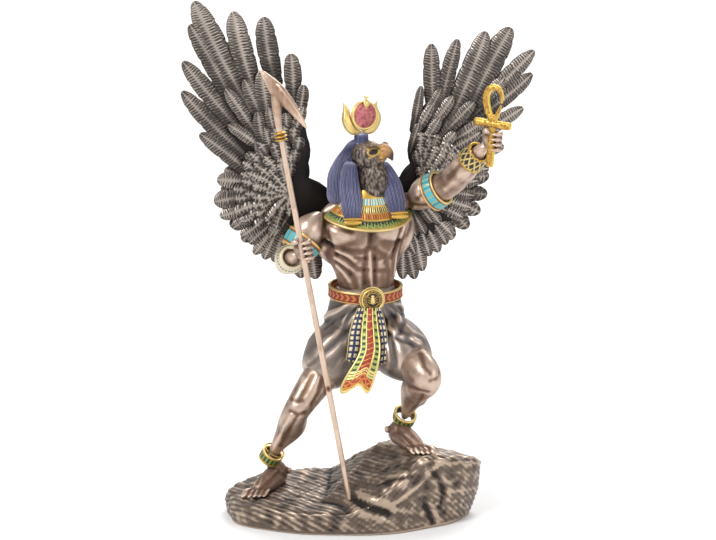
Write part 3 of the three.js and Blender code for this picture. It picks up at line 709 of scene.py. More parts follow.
skinStrokes = [
    # breast
    (-0.5, 1.6, [(344, 250), (352, 252), (362, 252), (367, 249)]),
    (-0.5, 1.6, [(375, 249), (380, 254), (386, 256)]),
    (-0.4, 1.4, [(371, 231), (370.5, 238), (370, 248)]),
    (0.35, 2.2, [(334, 232), (342, 236), (352, 238)]),
    (-0.35, 1.3, [(332, 226), (340, 230), (350, 231)]),
    (-0.45, 1.4, [(330, 240), (333, 248), (336, 254)]),
    # belly
    (0.35, 0.9, [(370, 250), (370, 262), (371, 276), (371, 286)]),
    (-0.6, 1.3, [(366, 253), (365, 262), (364, 272), (365, 284)]),
    (-0.6, 1.3, [(375, 256), (375.5, 264), (375, 274), (375, 284)]),
    (-0.35, 1.1, [(355, 258), (361, 259), (367, 259)]),
    (-0.35, 1.1, [(357, 269), (363, 270), (368, 270)]),
    (-0.35, 1.1, [(375, 259), (380, 259), (385, 258)]),
    (-0.35, 1.1, [(375, 271), (380, 271), (385, 270)]),
    # ribs and flanks
    (0.45, 1.3, [(334, 250), (345, 254), (355, 260)]),
    (-0.5, 1.0, [(336, 254), (346, 258.5), (354, 266)]),
    (0.4, 1.3, [(335, 258), (343, 263), (352, 270)]),
    (-0.45, 1.0, [(336, 262), (344, 268), (350, 275)]),
    (0.4, 1.3, [(337, 266), (344, 273), (349, 281)]),
    (-0.4, 1.3, [(350, 271), (354, 279), (356, 287)]),
    (0.7, 0.9, [(411, 210), (405, 225), (400, 240), (396, 256), (394, 274)]),
    (-0.55, 0.9, [(407, 213), (401.5, 228), (396.5, 242), (392.5, 258)]),
    (0.4, 0.8, [(415, 206), (409, 222), (404, 238), (400, 252)]),
    (-0.35, 1.4, [(387, 262), (389, 274), (388, 284)]),
    (-0.35, 1.2, [(385, 262), (390, 257), (394, 250)]),
    # left arm
    (-0.6, 1.6, [(417, 199), (422, 194), (426, 187)]),
    (-0.7, 2.2, [(448, 177), (456, 169), (463, 161), (470, 156)]),
    (0.4, 1.8, [(446, 189), (456, 183), (468, 173), (478, 164)]),
    (-0.35, 1.1, [(412, 204), (424, 205), (434, 202)]),
    # right arm
    (-0.5, 1.5, [(324, 219), (326, 228), (328, 236)]),
    (0.3, 1.5, [(308, 222), (314, 216), (322, 211)]),
    # right leg
    (-0.5, 1.5, [(312, 376), (306, 390), (300, 400)]),
    (0.35, 1.6, [(318, 378), (313, 392), (307, 403)]),
    (-0.4, 1.3, [(322, 380), (318, 394), (312, 404)]),
    (0.3, 1.2, [(303, 378), (299, 390), (294, 400)]),
    (-0.5, 1.2, [(290, 411), (298, 414.5), (305, 413)]),
    (-0.4, 1.0, [(291, 399), (296, 402), (303, 402)]),
    (0.45, 1.0, [(292, 415), (284, 429), (276, 444), (269, 457)]),
    (-0.4, 1.2, [(297, 417), (289, 431), (281, 446)]),
    # left leg
    (-0.5, 1.4, [(420, 354), (425, 366), (430, 374)]),
    (0.35, 1.6, [(428, 356), (434, 366), (437, 374)]),
    (-0.4, 1.2, [(430, 381), (436, 379), (439, 373)]),
    (-0.4, 1.2, [(410, 386), (418, 390), (428, 392)]),
    (0.4, 1.1, [(430, 395), (423, 405), (415, 415)]),
    (-0.3, 1.1, [(423, 395), (417, 405), (409, 413)]),
]

footStrokes = [
    (0.3, 0.5, [(258, 476), (252, 487), (246, 494)]),
    (0.3, 0.5, [(262, 478), (258, 489), (254, 496)]),
    (0.3, 0.5, [(254, 476), (247, 485), (241, 492)]),
    (0.3, 0.5, [(404, 434), (414, 443), (424, 450)]),
    (0.3, 0.5, [(401, 436), (410, 446), (419, 452)]),
]


def finishSkin(skin, strokes):
    carved(skin, strokes)
    points = pointsOf(skin)
    setPoints(skin, points + normalsOf(skin) * (0.09 * grain(points, 3.2, 5) + 0.04 * grain(points, 1.1, 6))[:, None])
    noteRelief(skin, 0.5, 20)


def makeBody():
    forms = [
        stack(torsoRows, chestYaw, swell=torsoSwell),
        limb(rightArm, 48, 64), limb(leftArm, 48, 64), limb(rightLeg, 48, 72), limb(leftLeg, 48, 72),
    ]
    for spine, width, depth in muscles:
        lengthwise = unit(np.subtract(spine[-1], spine[0]))
        ahead = square(vec(0.1, -1, 0.2), lengthwise)
        forms.append(limb({"spine": spine, "width": width, "depth": depth, "ahead": ahead, "blunt": 0.5}, 32, 40))
    skin = clay(forms, 0.85, 13)
    finishSkin(skin, skinStrokes)
    piece("body", skin, skinBronze, "bronze", "figure")
    ends = [
        *handForms(joint["rightFist"], staffLine, joint["rightWrist"]),
        *handForms(joint["leftFist"], ankhUp, joint["leftWrist"]),
        *footForms(vec(-33.5, 6.5, 16.4), vec(-51.5, -26, 14.2), joint["rightAnkle"], 1),
        *footForms(vec(25, -5.5, 42.6), vec(44.5, -35.5, 41), joint["leftAnkle"], -1),
    ]
    skin = clay(ends, 0.46, 2)
    finishSkin(skin, footStrokes)
    piece("hands_and_feet", skin, skinBronze, "bronze", "figure")


makeBody()



# Kilt: cloth wrapped round the hips and both thighs
kiltRows = [
    [126, 11.2, 4.8, 19.4, 15.2], [120, 11.2, 4.8, 19.6, 15.4], [110, 11.2, 4.8, 22, 17.2],
    [98, 11.2, 4.8, 24, 18], [84, 11.2, 4.8, 22.5, 16],
]
kiltFolds = [  # the viewer's left
    (0.6, 1.7, [(356, 304), (346, 307), (334, 312), (325, 318)]),
    (-0.6, 1.3, [(356, 310), (345, 315), (334, 321), (326, 328)]),
    (0.5, 1.7, [(354, 318), (344, 327), (334, 336), (324, 345)]),
    (-0.5, 1.4, [(353, 326), (343, 337), (334, 346), (322, 356), (308, 366)]),
    (0.5, 1.6, [(326, 316), (316, 330), (306, 344), (298, 360)]),
    # the viewer's right
    (0.6, 1.6, [(384, 326), (400, 334), (420, 342)]),
    (-0.6, 1.3, [(386, 332), (402, 340), (420, 347)]),
    (0.5, 1.4, [(395, 305), (399, 318), (394, 334)]),
    (-0.5, 1.2, [(400, 307), (404, 320), (400, 334)]),
]


rightSleeve = {
    "spine": [between(joint["rightHip"], joint["rightKnee"], s) for s in (-0.05, 0.3, 0.63)],
    "width": [15.5, 16.5, 14.6], "depth": [16, 16.5, 15], "ahead": (-0.4, -1, 0.1), "blunt": 0.16,
}
leftSleeve = {
    "spine": [between(joint["leftHip"], joint["leftKnee"], s) for s in (-0.05, 0.42, 0.8)],
    "width": [15.5, 16, 14], "depth": [16, 16, 14], "ahead": (0.5, -1, 0.6), "blunt": 0.16,
}


def makeKilt():
    drape = {
        "spine": [(10, 10, 104), (11, 9, 90), (12.5, 7, 76)],
        "width": [20, 21.5, 19], "depth": [8, 6, 2.6], "ahead": (0, -1, 0), "blunt": 0.2,
    }
    forms = [
        stack(kiltRows, pelvisYaw, blunt=0.1), limb(rightSleeve, 64, 64), limb(leftSleeve, 64, 64), limb(drape, 64, 48),
    ]
    cloth = clay(forms, 0.75, 7)
    points = pointsOf(cloth)
    across, down = pixelOf(points)
    sideOf = np.where(across < 368, 1, -1)
    source = np.where(across < 368, 364, 380)
    angle = np.arctan2(down - 296, (source - across) * sideOf)
    far = np.hypot(down - 296, source - across)
    wobble = 0.5 * grain(points, 13, 31) + 0.3 * grain(points, 6, 32)
    folds = np.sin(17 * angle + 3.2 * wobble) + 0.5 * np.sin(31 * angle + 5 * wobble)
    folds = np.sign(folds) * np.abs(folds) ** 0.8
    strength = smooth(far, 4, 30) * (1 - 0.5 * smooth(far, 60, 90)) * np.clip(0.75 + wobble, 0.25, 1.3)
    setPoints(cloth, points + normalsOf(cloth) * (0.5 * folds * strength)[:, None])
    carved(cloth, kiltFolds)
    setPoints(cloth, relaxed(pointsOf(cloth), edgesOf(cloth), 1))
    noteRelief(cloth, 0.5, 17)
    piece("kilt", cloth, kiltBronze, "bronze", "figure")


makeKilt()


# Belt, buckle, apron and side panels
def beltAt(u, v, height):
    angle = (u - 0.5) * 2 * math.pi
    out = 1.1 + height
    z = 120.4 + 5.6 * v - 2.6 * np.cos(angle)
    across = ((19.2 + out) * np.sin(angle))[:, None]
    forward = ((15.0 + out) * np.cos(angle))[:, None]
    return np.column_stack([np.full(len(u), 11.2), np.full(len(u), 4.8), z]) + leftOf(pelvisYaw) * across + facing(pelvisYaw) * forward


def beltPaint(u, v):
    arrow = (np.abs(u - 0.5) * 35 - np.abs(v - 0.5) * 1.3) % 1
    inside = np.abs(v - 0.5) < 0.33
    return pattern(
        "black", np.full(len(u), 0.0),
        (inside, "orange", 0.12), (inside & (arrow < 0.42), "red", 0.3), (inside & (arrow > 0.9), "black", 0.0),
        (np.abs(v - 0.5) > 0.37, "orange", 0.45), (np.abs(v - 0.5) > 0.44, "pale gold", 0.5),
    )


def buckleAt(u, v, height):
    angle = u * 2 * math.pi
    x, y = 6.3 * v * np.sin(angle), 6.3 * v * np.cos(angle)
    out = 1.4 + height * 0.9 + 1.0 * (1 - v ** 2)
    return vec(14.6, -12.9, 121) + leftOf(pelvisYaw) * x[:, None] + vec(0, 0, 1) * y[:, None] + facing(pelvisYaw) * out[:, None]


def bucklePaint(u, v):
    angle = u * 2 * math.pi
    x, y = v * np.sin(angle), v * np.cos(angle)
    body = 1 - (x / 0.2) ** 2 - ((y + 0.08) / 0.34) ** 2
    brow = 1 - (x / 0.15) ** 2 - ((y - 0.34) / 0.12) ** 2
    legs = np.zeros(len(u), bool)
    for rise in (0.18, -0.04, -0.26):
        legs |= (np.abs(y - rise - 0.5 * (np.abs(x) - 0.2)) < 0.035) & (np.abs(x) > 0.15) & (np.abs(x) < 0.46)
    return pattern(
        "black", np.full(len(u), 0.05),
        (legs & (v < 0.6), "gold", 0.4),
        (body > 0, "pale gold", 0.35 + 0.7 * np.sqrt(np.clip(body, 0, 1)) - 0.3 * (np.abs(x) < 0.03)),
        (brow > 0, "pale gold", 0.3 + 0.6 * np.sqrt(np.clip(brow, 0, 1))),
        ((v > 0.58) & (v < 0.65), "gold", 0.55),
        ((v > 0.68) & (v < 0.82) & (np.sin(30 * angle) > -0.2), "gold", 0.4),
        (v > 0.85, "pale gold", 0.9 * np.sqrt(np.clip(1 - ((v - 0.925) / 0.078) ** 2, 0, 1))),
    )


apron = {  # pixels down the left and the right edge, and how far ahead it hangs
    "left": [(364, 308), (362.3, 322), (360.8, 338), (360, 350), (355, 361), (348, 372), (341.5, 383), (338.8, 391)],
    "right": [(376, 308), (377.6, 322), (379.8, 338), (380.6, 350), (379.4, 361), (377, 372), (373.8, 382), (370, 391)],
    "depth": [-16.2, -19.6, -24.5, -27.6, -29.8, -31, -31.8, -32],
    "length": 46,
}
leftPanel = {
    "left": [(357.5, 308), (352.5, 321), (349, 334), (347.5, 346), (346, 360)],
    "right": [(365, 308), (363, 321), (361.5, 334), (360.8, 346), (357, 361)],
    "depth": [-15.2, -18, -20.6, -22.4, -23.6], "length": 27,
}
rightPanel = {
    "left": [(375.5, 308), (377.5, 321), (379.5, 336), (380.5, 350), (379, 364)],
    "right": [(380.5, 307), (385, 321), (387.5, 335), (388, 349), (386.5, 362)],
    "depth": [-14.4, -17.4, -20.6, -23, -24.4], "length": 27,
}


def hangingAt(panel):
    def surface(u, v, height):
        lobes = 1 - panel.get("notch", 0) * hill(u, 0.57, 0.17) - panel.get("notch", 0) * 0.35 * smooth(np.abs(u - 0.5), 0.42, 0.5)
        down = v * lobes
        pixels = mix(through(panel["left"], down), through(panel["right"], down), u[:, None])
        pixels[:, 1] += panel.get("drop", 0) * down ** 6 * (hill(u, 0.12, 0.2) + hill(u, 0.9, 0.14))
        y = through(panel["depth"], down) - 1.2 * (1 - (2 * u - 1) ** 2) - height
        return atDepth(pixels, y)

    return surface


apron["notch"], apron["drop"] = 0.09, 3


def apronPaint(u, v):
    a, down = np.abs(2 * u - 1), v * apron["length"]
    green, middle = (a > 0.46) & (a < 0.86), a < 0.38
    lattice = (np.sin(u * 30 + down * 1.6) > 0.55) | (np.sin(u * 30 - down * 1.6) > 0.55)
    end = down > 37.5
    return pattern(
        "black", np.full(len(u), 0.1),
        (green, "light green", 0.3), (green & (down % 3.1 < 1.5) & (a > 0.5) & (a < 0.82), "green", 0.12),
        (green & (down % 3.1 < 1.1) & (a > 0.54) & (a < 0.78), "black", 0.05),
        (middle, "red", 0.25), (middle & ((down + 2.6 * a) % 3.4 < 0.55), "gold", 0.45),
        ((a > 0.37) & (a < 0.47), "pale gold", 0.5),
        ((down > 33) & (down < 37.5) & ((down - 33) % 1.6 < 0.8), "pale gold", 0.5),
        (end, "red", 0.25), (end & lattice, "orange", 0.5),
        (end & (np.abs(down - 43) < 0.5), "gold", 0.5),
        ((a > 0.88) | (v > 0.96), "pale gold", 0.65),
    )


def panelPaint(u, v):
    down = v * 27
    bars = (down % 3 < 1.7) & (np.abs(np.abs(u - 0.5) - 0.22) < 0.13)
    return pattern(
        "navy", np.full(len(u), 0.1),
        (bars & (np.sin(down * 2.1) > -0.3), "cream", 0.45), (bars & (np.sin(down * 2.1) <= -0.3), "pale gold", 0.45),
        (np.abs(u - 0.5) > 0.45, "pale gold", 0.4),
    )


def makeBelt():
    middle = vec(11.2, 4.8, 121)
    piece("belt", strip(beltAt, beltPaint, 320, 14, middle, 1.6, True), ornament, "gold", "figure")
    piece("buckle", strip(buckleAt, bucklePaint, 104, 40, vec(14, -6, 121), 2.2, True), ornament, "gold", "figure")
    behind = vec(10, 10, 95)
    piece("apron", strip(hangingAt(apron), apronPaint, 54, 150, behind, 1.4), ornament, "gold", "figure")
    for name, panel in (("left_panel", rightPanel), ("right_panel", leftPanel)):
        piece(name, strip(hangingAt(panel), panelPaint, 24, 90, behind, 1.6), ornament, "gold", "figure")


makeBelt()


# Bands round the arms and ankles
def bandOn(spec, start, end, raised):
    def surface(u, v, height):
        bulge = raised + 0.25 * np.sin(math.pi * v) + height * 0.6
        return limbPoints(spec, mix(start, end, v), u * 2 * math.pi, 1, bulge)

    return surface


def armPaint(u, v):
    cell = u * 18 % 1
    edge = np.abs(v - 0.5)
    return pattern(
        "turquoise", np.full(len(u), 0.25), (cell < 0.1, "black", 0.05), ((cell > 0.46) & (cell < 0.54), "gold", 0.35),
        (edge > 0.3, "black", 0.05), (edge > 0.34, "orange", 0.5), (edge > 0.42, "pale gold", 0.6),
    )


def silverPaint(u, v):
    edge = np.abs(v - 0.5)
    slots = (edge < 0.12) & (u * 26 % 1 < 0.55)
    return pattern(
        "silver", np.full(len(u), 0.35), (edge < 0.16, "pale gold", 0.25), (slots, "black", 0.0),
        (edge > 0.42, "cream", 0.6),
    )


def latticePaint(u, v):
    edge = np.abs(v - 0.5)
    lines = (np.abs((u * 12 + v * 1.5) % 1 - 0.5) < 0.12) | (np.abs((u * 12 - v * 1.5) % 1 - 0.5) < 0.12)
    return pattern("black", np.full(len(u), 0.05), (lines, "pale gold", 0.45), (edge > 0.38, "gold", 0.6))


def anklePaint(u, v):
    edge = np.abs(v - 0.5)
    cell = u * 16 % 1
    return pattern(
        "green", np.full(len(u), 0.25), (cell < 0.3, "black", 0.05), ((cell > 0.62) & (cell < 0.72), "gold", 0.35),
        (edge > 0.26, "black", 0.0), (edge > 0.31, "gold", 0.55), (edge > 0.42, "pale gold", 0.6),
    )


def makeBands():
    bands = [
        ("right_armband", rightArm, 0.2, 0.31, 0.9, armPaint), ("left_armband", leftArm, 0.22, 0.32, 0.9, armPaint),
        ("right_cuff", rightArm, 0.68, 0.83, 1.3, silverPaint), ("left_cuff", leftArm, 0.7, 0.8, 0.9, latticePaint),
        ("right_anklet", rightLeg, 0.9, 1.0, 1.2, anklePaint), ("left_anklet", leftLeg, 0.9, 1.0, 1.2, anklePaint),
    ]
    for name, spec, start, end, raised, paint in bands:
        centre = through(spec["spine"], np.array([(start + end) / 2]))[0]
        mesh = strip(bandOn(spec, start, end, raised), paint, 144, 16, centre, 1.4, True)
        piece(name, mesh, ornament, "gold", "figure")
    ring = limb({"spine": limbPoints(rightLeg, np.full(25, 0.87), np.linspace(0, 2 * math.pi, 25), 1, 0.9),
                 "width": [0.5, 0.5], "ahead": (0.1, 0.2, 1)}, 12, 96)
    piece("ankle_ring", plainly(ring, "gold"), ornament, "gold", "figure")


makeBands()


# Collar
def collarAt(u, v, height):
    angle = (u - 0.5) * 2 * math.pi
    breast = (0.5 + 0.5 * np.cos(angle)) ** 1.4
    z = mix(180, mix(169.5, 158.8, breast), v)
    across = through([9.4, 17, 25], v) + height * 0.7
    forward = np.where(v < 0.5, mix(9, 13, v * 2), mix(13, 13.4 + 6.2 * breast, v * 2 - 1)) + height * 0.9 + 0.6
    flat = leftOf(chestYaw) * (across * np.sin(angle))[:, None] + facing(chestYaw) * (forward * np.cos(angle))[:, None]
    return flat + np.column_stack([np.full(len(u), 11.8), np.full(len(u), 2.6), z + height * 0.4])


def collarPaint(u, v):
    row = (v - 0.22) / 0.78
    block, bead, tooth = u * 60 % 1, u * 92 % 1, u * 76 % 1
    inRow = [(row > low) & (row <= high) for low, high in ((0, 0.22), (0.27, 0.44), (0.49, 0.64), (0.69, 0.9))]
    teeth = np.abs(tooth - 0.5) * 2 < (row - 0.69) / 0.21
    return pattern(
        "gold", np.full(len(u), 0.4),
        (inRow[0], "turquoise", 0.3), (inRow[0] & (block < 0.45), "cream", 0.4), (inRow[0] & (block > 0.93), "black", 0.0),
        (inRow[1], "black", 0.05), (inRow[1] & (bead < 0.5), "pale gold", 0.4),
        (inRow[2], "red", 0.2), (inRow[2] & (bead > 0.6), "gold", 0.45),
        (inRow[3], "black", 0.05), (inRow[3] & teeth, "light green", 0.3), (inRow[3] & (np.abs(tooth - 0.5) < 0.09), "green", 0.35),
        (row > 0.92, "pale gold", 0.75),
    )


piece("collar", strip(collarAt, collarPaint, 340, 48, vec(11.8, 2.6, 150), 1.6, True), ornament, "gold", "figure")


# Falcon head
skull = vec(12.2, 0.4, 198.4)


def headAt(ahead, up, side=0.0):  # side is towards the figure's left
    return skull + facing(headYaw) * ahead + leftOf(headYaw) * side + vec(0, 0, up)


def makeHead():
    up = vec(0, 0, 1)
    forms = [
        lump(headAt(0.4, -0.4), (9.0, 8.2, 9.4), headYaw, 0, 48),
        limb({"spine": [headAt(4.4, 0.8), headAt(9.6, 2.6), headAt(13.4, 1.6), headAt(15.4, -1), headAt(15.9, -3.6)],
              "width": [5.6, 4.2, 2.7, 1.3, 0.4], "depth": [6, 4.8, 3.2, 1.6, 0.5], "ahead": up}, 36, 48),
        limb({"spine": [headAt(5, -2.6), headAt(9.6, -1.6), headAt(12.6, -1.4)], "width": [5, 3.2, 1.3],
              "depth": [3.6, 2.2, 1], "ahead": up}, 24, 28),
        limb({"spine": [headAt(1.5, 0), headAt(3.6, -10), headAt(3, -20), headAt(0, -29)],
              "width": [7.4, 7.8, 7.6, 9], "depth": [7.8, 8.2, 7.8, 8], "ahead": facing(headYaw)}, 40, 48),
    ]
    for side in (-1, 1):
        forms.append(limb({"spine": [headAt(11.6, 4.6, side * 1.8), headAt(8.6, 6, side * 5.2), headAt(4, 5, side * 7.4)],
                           "width": [0.7, 1.3, 1], "ahead": up}, 16, 28))
        forms.append(lump(headAt(2, -2.6, side * 6), (3, 4, 5), headYaw, 0, 24))
    skin = clay(forms, 0.42, 5)
    points, normals = pointsOf(skin), normalsOf(skin)
    away = points - skull
    ahead, side, rise = away @ facing(headYaw), away @ leftOf(headYaw), away[:, 2]
    socket = np.sqrt((ahead - 7.2) ** 2 + ((rise - 2.4) * 1.15) ** 2)
    socket = np.where(np.abs(side) > 3, socket, 9)
    horny = smooth(ahead, 9.6, 10.6) * smooth(rise, -6, -4)
    feathered = (1 - horny) * smooth(socket, 2.4, 3.2)
    cells = grain(points * vec(1, 1, 0.7), 1.5, 3, lambda p: noise.voronoi(p)[0][0])
    tufts = grain(points * vec(1, 1, 0.5), 1.1, 8)
    move = 0.34 * feathered * (0.45 - cells) + 0.12 * feathered * tufts
    move -= 0.7 * hill(socket, 2.7, 0.5) * (socket < 8)  # rim round the eye
    move += 0.9 * np.sqrt(np.clip(1 - (socket / 1.7) ** 2, 0, 1)) - 0.5 * hill(socket, 1.9, 0.25)
    mouth = hill(rise + 1.5 + 0.06 * (ahead - 12) ** 2, 0, 0.28) * smooth(ahead, 8.4, 9.6)
    nostril = hill(np.hypot(ahead - 11.4, rise - 2.9), 0, 0.45) * (np.abs(side) > 0.8)
    move -= 0.45 * mouth + 0.5 * nostril
    setPoints(skin, points + normals * move[:, None])
    pale = np.clip(0.9 - cells * 1.1 + 0.5 * tufts, 0, 1) * feathered
    crownTop = smooth(rise, 2, 6)
    colour = mix(vec(0.03, 0.022, 0.02), vec(0.34, 0.27, 0.22), pale[:, None])
    colour = mix(colour, mix(colour, vec(0.3, 0.22, 0.16), 0.55), crownTop[:, None])
    beak = mix(vec(0.42, 0.22, 0.09), vec(0.05, 0.035, 0.03), smooth(ahead - 0.6 * rise, 12.6, 16)[:, None])
    colour = mix(colour, beak, horny[:, None])
    cere = hill(ahead, 10.4, 0.9) * (rise > -2) * (rise < 5.5)
    colour = mix(colour, vec(0.6, 0.36, 0.08), cere[:, None] * 0.9)
    patch = hill(np.hypot(ahead - 8.6, (rise - 4.6) * 1.4), 0, 1.6) * (np.abs(side) > 2)
    colour = mix(colour, vec(0.012, 0.012, 0.012), patch[:, None])
    rim = hill(socket, 2.3, 0.45) + 0.8 * hill(np.hypot((ahead - 5) * 0.7, rise - 1.6), 2.4, 0.4) * (socket < 4)
    colour = mix(colour, vec(0.62, 0.4, 0.12), np.clip(rim, 0, 1)[:, None] * (socket < 8)[:, None])
    colour = mix(colour, vec(0.01, 0.008, 0.008), (1 - smooth(socket, 1.5, 1.8))[:, None])
    colour = mix(colour, vec(0.02, 0.015, 0.012), np.clip(mouth + nostril, 0, 1)[:, None])
    noteColour(skin, "paint", colour)
    note(skin, "metal", 0.35 * feathered + 0.2)
    note(skin, "relief", 0.45 + 0.12 * pale + 0.1 * crownTop)
    piece("head", skin, ornament, "bronze", "figure")


makeHead()


# Headcloth: long pleats from the crown to a gold hem
clothRows = [
    [207.4, 8.8, 2.4, 2.5, 2.5], [205.2, 8, 4.6, 7.8, 5.2], [200.4, 6.6, 7.4, 10.6, 5.6], [195, 5, 8.4, 13, 7],
    [188, 4.2, 8.6, 16, 9.4], [180, 5, 8, 19, 11], [173, 6, 8.6, 22.5, 12], [168, 7.5, 8, 22, 11.5],
]
lappets = [  # points down each, and the way it faces
    ([(3, -2.6, 195), (2.4, -8, 184), (3.6, -12.6, 173), (4, -15, 163.4)], 10),
    ([(20, 1.4, 194), (25, -0.8, 183), (27.4, -4, 174), (28.6, -6.8, 165.6)], 26),
]


def pleats(count, deep):
    def swell(t, angle):
        wave = angle + 0.02 * np.sin(t * 9) + 0.012 * np.sin(t * 23 + angle * 3)
        return deep * (np.abs(np.sin(0.5 * count * wave)) - 0.6) + 0.3 * deep * np.sin(1.37 * count * wave)

    return swell


def makeCloth():
    forms = [stack(clothRows, clothYaw, 420, 76, pleats(84, 0.5))]
    hems = []
    for spine, yaw in lappets:
        spec = {"spine": spine, "width": [4.6, 5.4, 5.6, 5.4], "depth": [3, 2.8, 2.6, 2.6], "ahead": facing(yaw), "blunt": 0.2}
        forms.append(limb({**spec, "swell": pleats(40, 0.42)}, 176, 56))
        end = vec(*spine[-1])
        lower = facing(yaw) * 2.4 + leftOf(yaw) * 0
        ends = [end + lower + leftOf(yaw) * across + vec(0, 0, 0.4) for across in (-5, 0, 5)]
        hems.append(limb({"spine": ends, "width": [1.2, 1.5, 1.2], "ahead": (0, 0, 1), "blunt": 0.2}, 24, 40))
        rows = [end + lower * 0.8 + leftOf(yaw) * across + vec(0, 0, 2.2) for across in (-5.2, 0, 5.2)]
        hems.append(limb({"spine": rows, "width": [0.7, 0.8, 0.7], "ahead": (0, 0, 1), "blunt": 0.2}, 18, 40))
    skin = joined(forms)
    noteRelief(skin, 0.22, 10)
    piece("headcloth", skin, clothBronze, "bronze", "figure")
    piece("headcloth_hems", plainly(joined(hems), "gold"), ornament, "gold", "figure")


makeCloth()


# Crown: horns that hold the sun, and a serpent before it
def crownAt(across, up, ahead=0.0):
    return vec(10.4, -1.4, 220) + leftOf(crownYaw) * across + facing(crownYaw) * ahead + vec(0, 0, up)


def makeCrown():
    horns = []
    for side in (-1, 1):
        horns.append(limb({
            "spine": [crownAt(0, -9.8, -3), crownAt(6 * side, -8, -3), crownAt(9.4 * side, -2.6, -3),
                      crownAt(9.2 * side, 3, -4), crownAt(11 * side, 7, -4)],
            "width": [2.4, 2.8, 2.5, 1.7, 0.4], "depth": [2.8, 3, 2.6, 1.8, 0.4], "ahead": facing(crownYaw),
            "swell": lambda t, angle: 0.35 * hill(np.abs(angle), 0.9, 0.3) - 0.25 * hill(angle, 0, 0.3),
        }, 36, 90))
    turns = np.linspace(0, 2 * math.pi, 33)
    rim = limb({"spine": [crownAt(7.4 * math.sin(a), 7.4 * math.cos(a), 0.6) for a in turns], "width": [0.9, 0.9],
                "ahead": facing(crownYaw)}, 16, 140)
    serpent = [
        limb({"spine": [crownAt(0, 3.4, 1.6), crownAt(0, 6.4, 2.6), crownAt(0, 9, 1.8)], "width": [0.9, 2, 1.3],
              "depth": [0.9, 1, 1.1], "ahead": facing(crownYaw)}, 24, 32),
        lump(crownAt(0, 10, 2.2), (1.1, 0.9, 1.5), crownYaw, 0, 20),
    ]
    back = lump(crownAt(0, 0, -1.4), (7.6, 7.6, 1.4), crownYaw, 0, 48)
    gold = plainly(joined([*horns, rim, *serpent, back]), "pale gold", 0.5, 14)
    piece("crown", gold, ornament, "gold", "figure")
    disc = lump(crownAt(0, 0, 0.2), (7.2, 7.2, 2.6), crownYaw, 0, 64)
    points = pointsOf(disc)
    setPoints(disc, points + normalsOf(disc) * (0.1 * grain(points, 1.6, 9))[:, None])
    noteColour(disc, "paint", mix(vec(0.3, 0.05, 0.06), vec(0.6, 0.2, 0.2), (0.5 + grain(points, 1.3, 4))[:, None]))
    note(disc, "metal", np.full(len(points), 0.15))
    note(disc, "relief", np.full(len(points), 0.5))
    piece("sun_disc", disc, ornament, "bronze", "figure")
    post = limb({"spine": [crownAt(0, -9.4, -3), crownAt(0, -13, -3), crownAt(0, -16.5, -3)], "width": [4.2, 3.8, 4.6],
                 "blunt": 0.2, "swell": pleats(26, 0.25)}, 120, 24)
    noteRelief(post, 0.2, 8)
    piece("crown_post", post, clothBronze, "bronze", "figure")


makeCrown()


# Staff with a beast's head
staffSide = square(vec(1, 0, 0), staffLine)
staffAhead = np.cross(staffSide, staffLine)


def staffAt(distance, across=0.0, ahead=0.0):
    return staffFoot + staffLine * distance + staffSide * across + staffAhead * ahead


def makeStaff():
    forward = staffAhead if staffAhead[1] < 0 else -staffAhead
    forms = [
        limb({"spine": [staffAt(0), staffAt(209)], "width": [1.65, 1.65], "ahead": staffAhead, "blunt": 0.1}, 28, 400),
        limb({"spine": [staffAt(202), staffAt(214, 0.2), staffAt(224, 1.4), staffAt(230, 2)], "width": [2.3, 2.1, 2.9, 3.2],
              "ahead": staffAhead}, 32, 60),
        limb({"spine": [staffAt(242, -5), staffAt(237.6, -2), staffAt(229, 2.6), staffAt(219, 8.4), staffAt(211, 12.2), staffAt(205.6, 14.6)],
              "width": [0.8, 2.2, 4.0, 3.0, 2.0, 1.1], "depth": [0.7, 1.7, 2.9, 2.4, 1.9, 1.1], "ahead": staffAhead}, 40, 110),
        lump(staffAt(228.6, 4.2) + forward * 2.5, (1.2, 0.8, 0.7), 0, -40, 20),
        limb({"spine": [staffAt(233, 3) + forward * 2, staffAt(230.4, 4.6) + forward * 2.9, staffAt(226.6, 6.6) + forward * 2.4],
              "width": [0.3, 0.6, 0.3], "ahead": staffAhead}, 14, 24),
    ]
    staff = clay(forms, 0.48, 3)
    points = pointsOf(staff)
    nick = hill(np.linalg.norm(points - staffAt(67) - forward * 1.4, axis=1), 0, 1.3)  # an old dent, seen in the photograph
    scratch = 0.05 * grain(points * vec(1, 1, 0.25), 1.4, 12)
    setPoints(staff, points + normalsOf(staff) * (scratch - 0.5 * nick)[:, None])
    noteRelief(staff, 0.3, 14)
    layer = staff.attributes["relief"]
    values = np.empty(len(points), np.float32)
    layer.data.foreach_get("value", values)
    layer.data.foreach_set("value", (values * (1 - 0.9 * nick)).astype(np.float32))
    piece("staff", staff, staffBronze, "staff_bronze", "was_staff")
    rings = [limb({"spine": [staffAt(at - 0.9), staffAt(at + 0.9)], "width": [wide, wide], "ahead": staffAhead, "blunt": 0.5}, 36, 18)
             for at, wide in ((203, 3.3), (204.8, 3.7), (206.6, 3.2))]
    piece("staff_ring", plainly(joined(rings), "gold"), ornament, "gold", "was_staff")


makeStaff()


